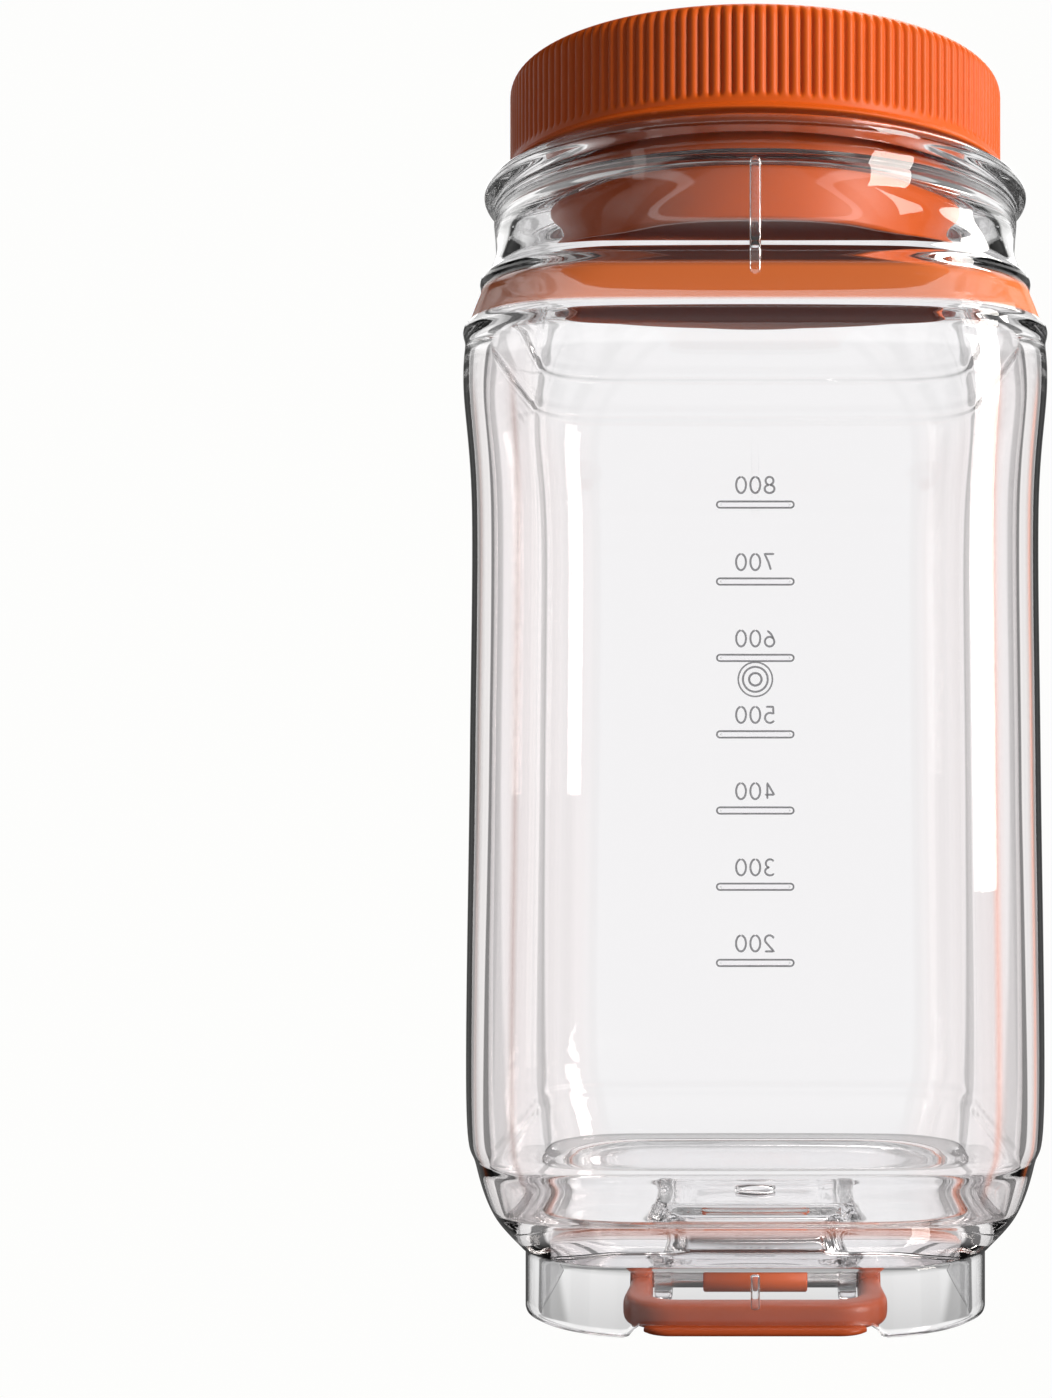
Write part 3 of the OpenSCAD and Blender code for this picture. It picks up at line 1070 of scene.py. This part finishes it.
@dataclass
class ClearBase:
    """Floor, loop pocket, pivot ears and foot ring."""

    sizes: BottleSizes
    pin: tuple[float, float]
    ear_in: float = 13.6
    ear_out: float = 16.4
    ear_r: float = 3.0
    foot_corner: float = 20.0
    foot_wall: float = 2.5
    pocket_rise: float = 2.5
    # Share of painted orange reflection on the rows round the floor's rim.
    rim_light: float = 0.4
    relief_h: float = 2.0
    relief_fade: float = 6.0
    gate_half_x: float = 3.1
    gate_half_y: float = 1.7
    gate_bead: float = 0.22
    gate_points: int = 40
    ear_sink: float = 0.6
    ear_round: float = 0.35
    relief_in: float = 17.6
    relief_out: float = 20.0
    section: SquareSection = field(default_factory=SquareSection)

    def skin(self) -> np.ndarray:
        """Returns the base's grid, from the middle of the underside out and over to the middle of the floor."""
        s = self.sizes
        gap, foot, fc, w = s.weld_gap, s.foot_half, self.foot_corner, self.foot_wall
        plug = s.foot_half - 3 - gap
        pc = s.corner - 3
        roof = s.floor_z - s.floor_t
        under = polyline([(roof, 0.4, 0.4), (roof, plug - 3.2, pc - 3.2)], 0.6)
        side = polyline([(roof - 0.8, plug - 2.4, pc - 2.4), (s.foot_h + 0.6, plug - 2.4, pc - 2.4)], 0.8)
        ring_in = polyline([(s.foot_h, foot - w - 0.4, fc - w), (s.foot_h - 0.5, foot - w, fc - w),
                            (0.5, foot - w, fc - w)], 0.6)
        hem = flow(np.array([[0.3, foot - w + 0.1, fc - w], [0.0, foot - w + 0.5, fc - w],
                             [0.0, foot - 0.6, fc], [0.3, foot - 0.1, fc]]), 3)
        hem[:, 0] = np.maximum(hem[:, 0], 0.0)
        ring_out = polyline([(0.7, foot, fc), (s.foot_h - 0.9, foot, fc)], 0.6)
        ledge = polyline([(s.foot_h - 0.3, foot - 0.1, fc), (s.foot_h - 0.05, foot - 0.5, fc),
                          (s.foot_h - 0.05, plug, pc)], 0.5)
        weld = polyline([(s.foot_h + 0.4, plug, pc), (s.floor_z - 0.8, plug, pc)], 0.8)
        floor = polyline([(s.floor_z - 0.25, plug - 0.3, pc), (s.floor_z, plug - 1.0, pc - 1),
                          (s.floor_z, 0.4, 0.4)], 0.6)
        return np.vstack([under, side, ring_in, hem, ring_out, ledge, weld, floor])

    def pocket(self, x: np.ndarray, y: np.ndarray, inset: float) -> np.ndarray:
        """Gives the raised pocket's outline as a soft-edged plateau.

        Args:
            x: Places across.
            y: Places front to back.
            inset: How far inside the pocket's edge it stays.

        Returns:
            0 outside to 1 on the plateau.
        """
        front, back = 1.5 - (self.sizes.foot_half - 3), self.pin[0] + 2
        middle, depth = (front + back) / 2, (back - front) / 2 - inset
        half = self.ear_out - inset
        corner = 4.5
        dx = np.maximum(np.abs(x) - (half - corner), 0.0)
        dy = np.maximum(np.abs(y - middle) - (depth - corner), 0.0)
        return smooth_step(np.hypot(dx, dy), corner, corner - 1.1)

    def build(self, finish: bpy.types.Material, edge: bpy.types.Material) -> bpy.types.Object:
        """Makes the base.

        Args:
            finish: The clear plastic.
            edge: The darkened clear plastic that paints the shade of the gate mark's side.

        Returns:
            The piece.
        """
        s = self.sizes
        rows = self.skin()
        xyz = self.section.loft(rows)
        x, y, z = xyz[..., 0], xyz[..., 1], xyz[..., 2]
        roof = s.floor_z - s.floor_t
        z += self.pocket_rise * self.pocket(x, y, 0.0) * (z > s.floor_z - 0.1)
        z += self.pocket_rise * self.pocket(x, y, 2.0) * (np.abs(z - roof) < 0.01)
        front = (y < 0) * smooth_step(np.abs(x), self.relief_out, self.relief_in)
        z += self.relief_h * front * np.clip(1 - z / self.relief_fade, 0.0, 1.0) * (z < self.relief_fade)
        # Paints an orange reflection into the rows round the floor's rim.
        rim = (rows[:, 0] > s.floor_z - 1.0) & (rows[:, 1] > s.foot_half - 4.2)
        light = np.zeros(z.shape + (2,))
        light[rim, :, 0] = self.rim_light
        mesh = Mesh()
        mesh.grid(xyz, light=light)
        piece = mesh.build("clear_base", finish, Body.BOTTLE, Slot.BASE)
        self.add_ears(piece)
        self.add_gate(edge)
        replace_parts(piece, "base_cup")
        return piece

    def add_gate(self, edge: bpy.types.Material) -> None:
        """Adds the low oval gate mark on the pocket's top.

        Args:
            edge: The darkened clear plastic that paints the shade of the mark's steep side.
        """
        s = self.sizes
        turn = np.linspace(0.0, 2 * np.pi, self.gate_points + 1)[:-1]
        middle = (1.5 - (s.foot_half - 3) + self.pin[0] + 2) / 2
        ring = np.column_stack([self.gate_half_x * np.cos(turn), middle + self.gate_half_y * np.sin(turn),
                                np.full(self.gate_points, s.floor_z + self.pocket_rise + 0.03)])
        closed = np.vstack([ring[-1:], ring, ring[:1]])
        flat = np.full(len(closed), self.gate_bead)
        mesh = Mesh()
        mesh.grid(swept(closed, flat, flat, np.array([0.0, 0.0, 1.0]), 2.4, 12, 0.0)[1:-1], loop_rows=True)
        mesh.build("pocket_gate_mark", edge, Body.BOTTLE, Slot.BASE)

    def add_ears(self, piece: bpy.types.Object) -> None:
        """Sets the two pivot ears into the underside as closed shapes of their own, with no bore.

        Args:
            piece: The base.
        """
        s = self.sizes
        pin_y, pin_z = self.pin
        mesh = Mesh()
        roof = s.floor_z - s.floor_t + self.ear_sink
        turn = np.radians(np.linspace(180, 360, 15))
        lower = np.stack([pin_y + self.ear_r * np.cos(turn), pin_z + self.ear_r * np.sin(turn)], axis=1)
        outline = np.vstack([lower, [[pin_y + self.ear_r + 2, roof], [pin_y - self.ear_r - 2, roof]]])
        middle = outline.mean(axis=0)
        for side in (-1, 1):
            rows = []
            for x, inset in ((self.ear_in, self.ear_round), (self.ear_in + 0.3, 0.0),
                             (self.ear_out - 0.3, 0.0), (self.ear_out, self.ear_round)):
                shrink = 1 - inset / 5.0
                yz = middle + (outline - middle) * shrink
                rows.append(np.column_stack([np.full(len(yz), side * x), yz]))
            grid = np.array(rows if side > 0 else rows[::-1])
            mesh.grid(grid)
        mesh.build("pivot_ears", piece.data.materials[0], Body.BOTTLE, Slot.BASE)


# ---------------------------------------------------------------- loop


@dataclass
class CarryLoop:
    """The folding bail, its pin and its sleeve."""

    front: float
    half: float
    pin: tuple[float, float]
    bar: float = 5.0
    arm: float = 3.6
    thick: float = 4.6
    low: float = 0.1
    hub_r: float = 3.2
    lip_half: float = 17.0
    lip_out: float = 2.6
    lip_t: float = 1.4
    pin_r: float = 1.1
    sleeve_r: float = 1.8
    sleeve_half: float = 8.5

    def bail_path(self) -> np.ndarray:
        """Returns the middle line: back along one arm, round the corner, along the bar and back."""
        pin_y, _ = self.pin
        x = self.half - self.arm / 2
        y = self.front + self.bar / 2
        r = 6.5
        a = np.radians(np.linspace(0, 90, 14))
        corner = np.stack([x - r + r * np.cos(a), y + r - r * np.sin(a)], axis=1)
        arm = np.stack([np.full(12, x), np.linspace(pin_y, y + r, 12)], axis=1)[:-1]
        half = np.vstack([arm, corner])
        bar = np.stack([np.linspace(x - r, 0, 14), np.full(14, y)], axis=1)[1:]
        right = np.vstack([half, bar])
        left = right[::-1][1:] * [-1, 1]
        return np.vstack([right, left])

    def build_bail(self, finish: bpy.types.Material) -> bpy.types.Object:
        """Makes the bail with its eyes and finger lip.

        Args:
            finish: The orange plastic.

        Returns:
            The piece.
        """
        pin_y, pin_z = self.pin
        flat = self.bail_path()
        near_bar = smooth_step(flat[:, 1], pin_y - 4, self.front + self.bar / 2)
        middle_z = self.low + self.thick / 2
        path = np.column_stack([flat, np.full(len(flat), middle_z)])
        wide = self.arm / 2 + (self.bar - self.arm) / 2 * near_bar
        tall = np.full(len(flat), self.thick / 2)
        mesh = Mesh()
        mesh.grid(swept(path, wide, tall, np.array([0.0, 0.0, 1.0]), 3.2, 32))
        for side in (-1, 1):
            x0 = side * (self.half - self.arm / 2)
            h, r, bore = self.arm / 2, self.hub_r, self.pin_r + 0.05
            profile = np.array([(bore, -h + 0.2), (bore + 0.25, -h), (r - 0.5, -h), (r - 0.12, -h + 0.15),
                                (r, -h + 0.5), (r, h - 0.5), (r - 0.12, h - 0.15), (r - 0.5, h),
                                (bore + 0.25, h), (bore, h - 0.2)])
            mesh.grid(along_x(lathe(profile, 64), (x0, pin_y, pin_z)), loop_rows=True)
        lip_x = np.linspace(-self.lip_half, self.lip_half, 60)
        swell = rounded_ends(60, 0.12)
        lip = np.column_stack([lip_x, np.full(60, self.front), np.full(60, self.low + self.lip_t / 2)])
        lip[:, 1] += self.lip_out * 0.5 * (1 - swell)
        mesh.grid(swept(lip, self.lip_out * swell, self.lip_t / 2 * np.sqrt(swell), np.array([0.0, 0.0, 1.0]),
                        3.0, 24))
        piece = mesh.build("carry_bail", finish, Body.LOOP, Slot.LOOP)
        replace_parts(piece, "carry_loop")
        return piece

    def build_pin(self, steel: bpy.types.Material, orange: bpy.types.Material) -> None:
        """Makes the chamfered pin and the sleeve on it.

        Args:
            steel: The pin's finish.
            orange: The sleeve's finish.
        """
        centre = (0.0, *self.pin)
        end = self.half - 0.2
        rod = np.array([(0.5, -end), (self.pin_r - 0.2, -end), (self.pin_r, -end + 0.25), (self.pin_r, 0.0),
                        (self.pin_r, end - 0.25), (self.pin_r - 0.2, end), (0.5, end)])
        mesh = Mesh()
        mesh.grid(along_x(lathe(rod, 48), centre))
        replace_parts(mesh.build("pivot_pin", steel, Body.BOTTLE, Slot.PIN), "loop_pin")
        h, r, b = self.sleeve_half, self.sleeve_r, self.pin_r + 0.03
        tube = np.array([(b, -h + 0.1), (b + 0.1, -h), (r - 0.25, -h), (r, -h + 0.25), (r, 0.0), (r, h - 0.25),
                         (r - 0.25, h), (b + 0.1, h), (b, h - 0.1)])
        mesh = Mesh()
        mesh.grid(along_x(lathe(tube, 64), centre), loop_rows=True)
        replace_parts(mesh.build("pivot_sleeve", orange, Body.BOTTLE, Slot.SLEEVE), "pin_sleeve")


# ---------------------------------------------------------------- cap


@dataclass
class ScrewCap:
    """Ribbed cap, its inner cup with the skirt, and the gasket."""

    bottom: float
    top: float
    lip_r: float
    skirt_bottom: float
    rim_z: float
    mouth_r: float = 34.5
    ribs: int = 150
    per_rib: int = 8
    rib_depth: float = 0.62
    lead: float = 12.0
    starts: int = 3
    thread_h: float = 1.6
    bore_r: float = 39.1
    skirt_gap: float = 0.35
    skirt_wall: float = 1.6

    @property
    def grip_r(self) -> float:
        """Radius over the ribs."""
        return self.lip_r - 1.1

    def outside(self) -> np.ndarray:
        """Returns radius and height from the lip's underside up over the top to the middle."""
        b, t, r = self.bottom, self.top, self.grip_r
        lip = flow(np.array([[self.lip_r - 0.9, b], [self.lip_r - 0.25, b + 0.08], [self.lip_r, b + 0.42],
                             [self.lip_r - 0.4, b + 0.85], [r + 0.08, b + 1.3], [r, b + 1.8]]), 3)
        side = polyline([(r, b + 2.0), (r, t - 3.0)], 0.35)
        turn = np.radians(np.linspace(0, 88, 12))
        fillet = np.stack([r - 2.8 + 2.8 * np.cos(turn), t - 2.8 + 2.8 * np.sin(turn)], axis=1)
        dish = flow(np.array([[r - 5.5, t], [r - 7.2, t - 0.08], [r - 8.4, t - 0.45], [r - 10.5, t - 0.5],
                              [20.0, t - 0.5], [0.6, t - 0.5]]), 5)
        return np.vstack([lip, side, fillet, dish])

    def inside(self) -> np.ndarray:
        """Returns radius and height from the middle of the ceiling down the bore to the lip."""
        ceiling = self.top - 1.5
        down = polyline([(self.bore_r, ceiling - 0.4), (self.bore_r, self.bottom + 0.5)], 0.35)
        return np.vstack([[[0.6, ceiling], [20.0, ceiling], [self.bore_r - 0.4, ceiling]], down,
                          [[self.bore_r + 0.25, self.bottom + 0.12], [self.bore_r + 0.6, self.bottom]]])

    def grooved(self, xyz: np.ndarray) -> np.ndarray:
        """Sinks the grooves between the ribs.

        The depth is rib_depth * (1 - |cos(ribs * a / 2)|^0.7) round the cap, times a window in height
        that rounds off the groove's lower end and runs it out in the top fillet.

        Args:
            xyz: The outside grid.

        Returns:
            The grid with its ribs.
        """
        a = np.arctan2(xyz[..., 1], xyz[..., 0])
        r = np.hypot(xyz[..., 0], xyz[..., 1])
        z = xyz[..., 2]
        groove = 1 - np.abs(np.cos(self.ribs * a / 2)) ** 0.7
        window = np.sqrt(smooth_step(z, self.bottom + 2.3, self.bottom + 3.3))
        window = window * smooth_step(z, self.top - 0.25, self.top - 1.6) * (r > self.grip_r - 2.9)
        return radially(xyz, -self.rib_depth * groove * window)

    def threaded(self, xyz: np.ndarray) -> np.ndarray:
        """Raises the female thread inwards, half a pitch above the neck's helices.

        Args:
            xyz: The inside grid.

        Returns:
            The grid with its thread.
        """
        a = np.arctan2(xyz[..., 1], xyz[..., 0])
        r = np.hypot(xyz[..., 0], xyz[..., 1])
        z0 = self.bottom + 2.9 + self.lead / self.starts / 2 - self.lead * math.radians(THREAD_TURN) / (2 * np.pi)
        turn = (xyz[..., 2] - z0) / self.lead - a / (2 * np.pi)
        away = np.abs(turn - np.round(turn * self.starts) / self.starts) * self.lead
        along = (xyz[..., 2] - z0) / self.lead
        fade = smooth_step(along, -0.18, -0.12) * smooth_step(along, 0.36, 0.3)
        on_bore = (np.abs(r - self.bore_r) < 0.05) * (xyz[..., 2] < self.top - 2.5)
        return radially(xyz, -self.thread_h * smooth_step(away, 1.2, 0.45) * fade * on_bore)

    def build_shell(self, finish: bpy.types.Material) -> bpy.types.Object:
        """Makes the ribbed shell.

        Args:
            finish: The orange plastic.

        Returns:
            The piece.
        """
        columns = self.ribs * self.per_rib // 2
        outer = self.grooved(lathe(self.outside(), self.ribs * self.per_rib))
        inner = self.threaded(lathe(self.inside(), columns))
        mesh = Mesh()
        wide = np.repeat(inner, 2, axis=1)
        wide[:, 1::2] = (inner + np.roll(inner, -1, axis=1)) / 2
        mesh.grid(np.concatenate([wide, outer], axis=0))
        piece = mesh.build("ribbed_cap", finish, Body.CAP, Slot.CAP)
        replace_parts(piece, "cap_shell")
        return piece

    def build_liner(self, finish: bpy.types.Material) -> bpy.types.Object:
        """Makes the inner cup with its long skirt.

        Args:
            finish: The orange plastic.

        Returns:
            The piece.
        """
        r1 = self.mouth_r - self.skirt_gap
        r0 = r1 - self.skirt_wall
        low, plate = self.skirt_bottom, self.rim_z + 0.9
        rows = [(0.6, plate), (r0 - 1.2, plate), (r0 - 0.3, plate - 0.3), (r0, plate - 1.2)]
        skirt_in = polyline([(r0, plate - 1.6), (r0, low + 0.8)], 2.0)
        hem = flow(np.array([[r0, low + 0.6], [r0 + 0.3, low + 0.1], [r0 + 0.8, low], [r1 - 0.3, low + 0.1],
                             [r1, low + 0.6]]), 4)
        skirt_out = polyline([(r1, low + 0.8), (r1, plate - 0.4)], 2.0)
        disc = [(r1 + 0.3, plate), (self.bore_r - 0.5, plate), (self.bore_r - 0.15, plate + 0.2),
                (self.bore_r - 0.15, plate + 1.2), (self.bore_r - 0.5, plate + 1.4), (0.6, plate + 1.4)]
        mesh = Mesh()
        mesh.grid(lathe(np.vstack([rows, skirt_in, hem, skirt_out, disc]), 256))
        piece = mesh.build("cap_inner_cup", finish, Body.CAP, Slot.LINER)
        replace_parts(piece, "cap_liner")
        return piece

    def build_gasket(self, finish: bpy.types.Material) -> bpy.types.Object:
        """Makes the gasket, a flat ring with round edges.

        Args:
            finish: The silicone.

        Returns:
            The piece.
        """
        r0, r1 = self.mouth_r + 0.1, self.bore_r - 0.5
        z0, z1 = self.rim_z + 0.05, self.rim_z + 0.85
        e = 0.18
        ring = np.array([(r0, z1 - e), (r0, z0 + e), (r0 + e, z0), (r1 - e, z0), (r1, z0 + e), (r1, z1 - e),
                         (r1 - e, z1), (r0 + e, z1)])
        mesh = Mesh()
        mesh.grid(lathe(ring, 192), loop_rows=True)
        piece = mesh.build("rim_gasket", finish, Body.CAP_LIFT, Slot.GASKET)
        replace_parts(piece, "cap_gasket")
        return piece


# ---------------------------------------------------------------- studio


@dataclass
class Studio:
    """Pale floor, bright surround, soft boxes and the camera."""

    distance: float = 0.3468
    eye: float = 0.0857
    lens: float = 52.1
    sensor: float = 36.0
    shift_x: float = -0.164
    shift_y: float = 0.0572
    floor_drop: float = 0.06
    floor_half: float = 30.0
    pale: float = 0.985
    through: float = 0.96
    near_flag: float = 0.45
    flag: float = 0.8
    zenith: float = 0.3
    gloss: float = 0.22
    ring: float = 1.8
    fill_left: float = 0.01
    fill_right: float = 0.36
    floor_near: float = 0.45
    floor_fill: float = 0.08
    near_bearings: tuple[float, float, float, float] = (0.3, 0.34, 0.5, 0.54)
    far_bearings: tuple[float, float, float, float] = (0.95, 1.0, 1.3, 1.38)
    ring_heights: tuple[float, float, float, float] = (0.26, 0.3, 0.4, 0.44)

    def camera(self) -> None:
        """Puts the camera straight in front, level, with the frame shifted to the left and up."""
        data = bpy.data.cameras.new("view_camera")
        data.sensor_fit = "VERTICAL"
        data.sensor_height = self.sensor
        data.lens = self.lens
        data.shift_x = self.shift_x
        data.shift_y = self.shift_y
        data.clip_start = 0.01
        eye = bpy.data.objects.new("view_camera", data)
        eye.location = (0.0, -self.distance, self.eye)
        eye.rotation_euler = (math.pi / 2, 0.0, 0.0)
        bpy.context.scene.collection.objects.link(eye)
        bpy.context.scene.camera = eye

    def floor(self) -> None:
        """Lays a wide pale floor that gives light as a light table does."""
        mesh = bpy.data.meshes.new("studio_floor")
        r = self.floor_half
        z = -self.floor_drop
        mesh.from_pydata([(-r, -r, z), (r, -r, z), (r, r, z), (-r, r, z)], [], [(0, 1, 2, 3)])
        floor = bpy.data.objects.new("studio_floor", mesh)
        material = bpy.data.materials.new("pale_floor")
        material.use_nodes = True
        tree = material.node_tree
        tree.nodes.clear()
        glow = tree.nodes.new("ShaderNodeEmission")
        glow.inputs["Color"].default_value = STUDIO_WHITE
        tree.links.new(self.floor_strength(tree), glow.inputs["Strength"])
        out = tree.nodes.new("ShaderNodeOutputMaterial")
        tree.links.new(glow.outputs[0], out.inputs["Surface"])
        mesh.materials.append(material)
        bpy.context.scene.collection.objects.link(floor)

    def floor_strength(self, tree: bpy.types.NodeTree) -> bpy.types.NodeSocket:
        """Makes the floor pale to the eye, dim as a light, and darker close to the bottle in the plastic.

        Args:
            tree: The floor's node tree.

        Returns:
            The strength.
        """
        kit = Wiring(tree)
        place = kit.add("ShaderNodeTexCoord").outputs["Object"]
        reach = kit.add("ShaderNodeVectorMath", operation="LENGTH")
        kit.link(place, reach.inputs[0])
        near = kit.band(reach.outputs["Value"], 0.1, 0.32, self.floor_near, 1.0)
        parts = kit.add("ShaderNodeSeparateXYZ")
        kit.link(place, parts.inputs[0])
        seen = kit.maths("MULTIPLY", near, self.flags(kit, parts.outputs[0], parts.outputs[1]))
        path = kit.add("ShaderNodeLightPath").outputs
        mirrored = kit.maths("MULTIPLY", seen, self.gloss)
        seen = kit.mix(path["Is Transmission Ray"], mirrored, seen)
        seen = kit.mix(path["Is Camera Ray"], seen, self.pale)
        return kit.mix(path["Is Diffuse Ray"], seen, self.floor_fill)

    def flags(self, kit: Wiring, x: bpy.types.NodeSocket, y: bpy.types.NodeSocket) -> bpy.types.NodeSocket:
        """Sets dark upright flags beside the bright panels, at the same bearings in front and behind.

        Args:
            kit: Where the nodes go.
            x: Share or distance to the right.
            y: Share or distance to the back.

        Returns:
            The level seen through the plastic at each bearing.
        """
        turn = kit.maths("ABSOLUTE", kit.maths("ARCTAN2", x, kit.maths("ABSOLUTE", y)))
        near = self.window(kit, turn, self.near_bearings, self.near_flag)
        far = self.window(kit, turn, self.far_bearings, self.flag)
        return kit.maths("MULTIPLY", kit.maths("SUBTRACT", 1.0, kit.maths("ADD", near, far)), self.through)

    @staticmethod
    def window(kit: Wiring, source: bpy.types.NodeSocket, edges: tuple[float, float, float, float],
               level: float) -> bpy.types.NodeSocket:
        """Rises from 0 to a level between the first two edges and falls back between the last two.

        Args:
            kit: Where the nodes go.
            source: The value that the edges are on.
            edges: Start and end of the rise, then of the fall.
            level: Height in between.

        Returns:
            The window's value.
        """
        rise, full, fall, end = edges
        up = kit.band(source, rise, full, 0.0, level)
        return kit.maths("MULTIPLY", up, kit.band(source, fall, end, 1.0, 0.0))

    def surround(self) -> None:
        """Makes the world: pale to the eye, and darker flags between bright panels in the plastic."""
        world = bpy.data.worlds.new("studio_surround")
        bpy.context.scene.world = world
        world.use_nodes = True
        tree = world.node_tree
        tree.nodes.clear()
        kit = Wiring(tree)
        parts = kit.add("ShaderNodeSeparateXYZ")
        kit.link(kit.add("ShaderNodeTexCoord").outputs["Generated"], parts.inputs[0])
        x, y, z = parts.outputs
        level = self.flags(kit, x, y)
        seen = kit.maths("MULTIPLY", level, kit.band(kit.maths("ABSOLUTE", z), 0.4, 0.75, 1.0, self.zenith))
        fill = kit.band(x, -0.5, 1.0, self.fill_left, self.fill_right)
        path = kit.add("ShaderNodeLightPath").outputs
        rise = self.window(kit, z, self.ring_heights, self.ring)
        mirrored = kit.maths("ADD", kit.maths("MULTIPLY", seen, self.gloss), rise)
        total = kit.mix(path["Is Transmission Ray"], mirrored, seen)
        total = kit.mix(path["Is Camera Ray"], total, self.pale)
        total = kit.mix(path["Is Diffuse Ray"], total, fill)
        back = kit.add("ShaderNodeBackground")
        back.inputs["Color"].default_value = STUDIO_WHITE
        kit.link(total, back.inputs["Strength"])
        kit.link(back.outputs[0], kit.add("ShaderNodeOutputWorld").inputs["Surface"])

    def soft_box(self, name: str, azimuth: float, elevation: float, reach: float, wide: float, tall: float,
                 power: float) -> None:
        """Hangs a soft box that faces the bottle's middle and stays out of sight.

        Args:
            name: Its name.
            azimuth: Degrees from the front, positive to the right.
            elevation: Degrees above the middle of the bottle.
            reach: Distance from the bottle's middle.
            wide: Width.
            tall: Height.
            power: Watts.
        """
        data = bpy.data.lights.new(name, "AREA")
        data.shape = "RECTANGLE"
        data.size, data.size_y = wide, tall
        data.energy = power
        data.color = LAMP_WHITE
        lamp = bpy.data.objects.new(name, data)
        a, e = math.radians(azimuth), math.radians(elevation)
        lamp.location = (reach * math.sin(a) * math.cos(e), -reach * math.cos(a) * math.cos(e),
                         0.1 + reach * math.sin(e))
        lamp.rotation_euler = (math.pi / 2 - e, 0.0, a)
        lamp.visible_camera = False
        bpy.context.scene.collection.objects.link(lamp)

    def build(self) -> None:
        """Sets up the studio."""
        scene = bpy.context.scene
        scene.view_settings.view_transform = "Standard"
        scene.cycles.use_denoising = True
        scene.cycles.max_bounces = 24
        scene.cycles.transmission_bounces = 24
        scene.cycles.glossy_bounces = 12
        scene.cycles.transparent_max_bounces = 16
        scene.cycles.caustics_reflective = False
        scene.cycles.caustics_refractive = True
        scene.cycles.sample_clamp_indirect = 8.0
        self.camera()
        self.floor()
        self.surround()
        self.soft_box("key_right", 58.0, 18.0, 0.9, 0.3, 0.7, 9.0)
        self.soft_box("strip_left", -48.0, 4.0, 0.8, 0.08, 0.8, 0.25)
        self.soft_box("top_back", 150.0, 55.0, 0.9, 0.6, 0.4, 4.0)


# ---------------------------------------------------------------- making


def main() -> None:
    """Builds the studio and every piece, in order."""
    logging.basicConfig(level=logging.INFO, format="%(name)s %(message)s")
    Studio().build()

    sizes = BottleSizes.from_frame()
    body = ClearBody(sizes)
    clear = ClearPlastic().make()
    body.build(clear)
    # Darkened clear plastic that paints the shade of the marks' steep sides.
    edge = ClearPlastic("clear_mark_painted_shade", tint=(0.16, 0.16, 0.17)).make()
    Marks(body).build(clear, edge)

    loop_low, loop_high = node_box("carry_loop")
    pin_low, pin_high = node_box("loop_pin")
    pin = (float(pin_low[1] + pin_high[1]) / 2, float(pin_low[2] + pin_high[2]) / 2)
    ClearBase(sizes, pin).build(clear, edge)

    loop = CarryLoop(front=float(loop_low[1]) + 2.6, half=float(loop_high[0]), pin=pin)
    loop_orange = OrangePlastic("loop_orange_pp", colour=(0.46, 0.075, 0.018), roughness=0.3, grain=0.08)
    loop.build_bail(loop_orange.make())
    loop.build_pin(PinSteel().make(), OrangePlastic("sleeve_orange_pp", roughness=0.36).make())

    cap_low, cap_high = node_box("cap_shell")
    cap = ScrewCap(bottom=float(cap_low[2]), top=float(cap_high[2]), lip_r=float(cap_high[1]),
                   skirt_bottom=float(node_box("cap_liner")[0][2]), rim_z=sizes.rim_z)
    cap.build_shell(OrangePlastic("cap_orange_pp").make())
    cap.build_liner(OrangePlastic("liner_orange_pp", roughness=0.36, grain=0.1).make())
    cap.build_gasket(SealSilicone().make())


if __name__ == "__main__":
    main()
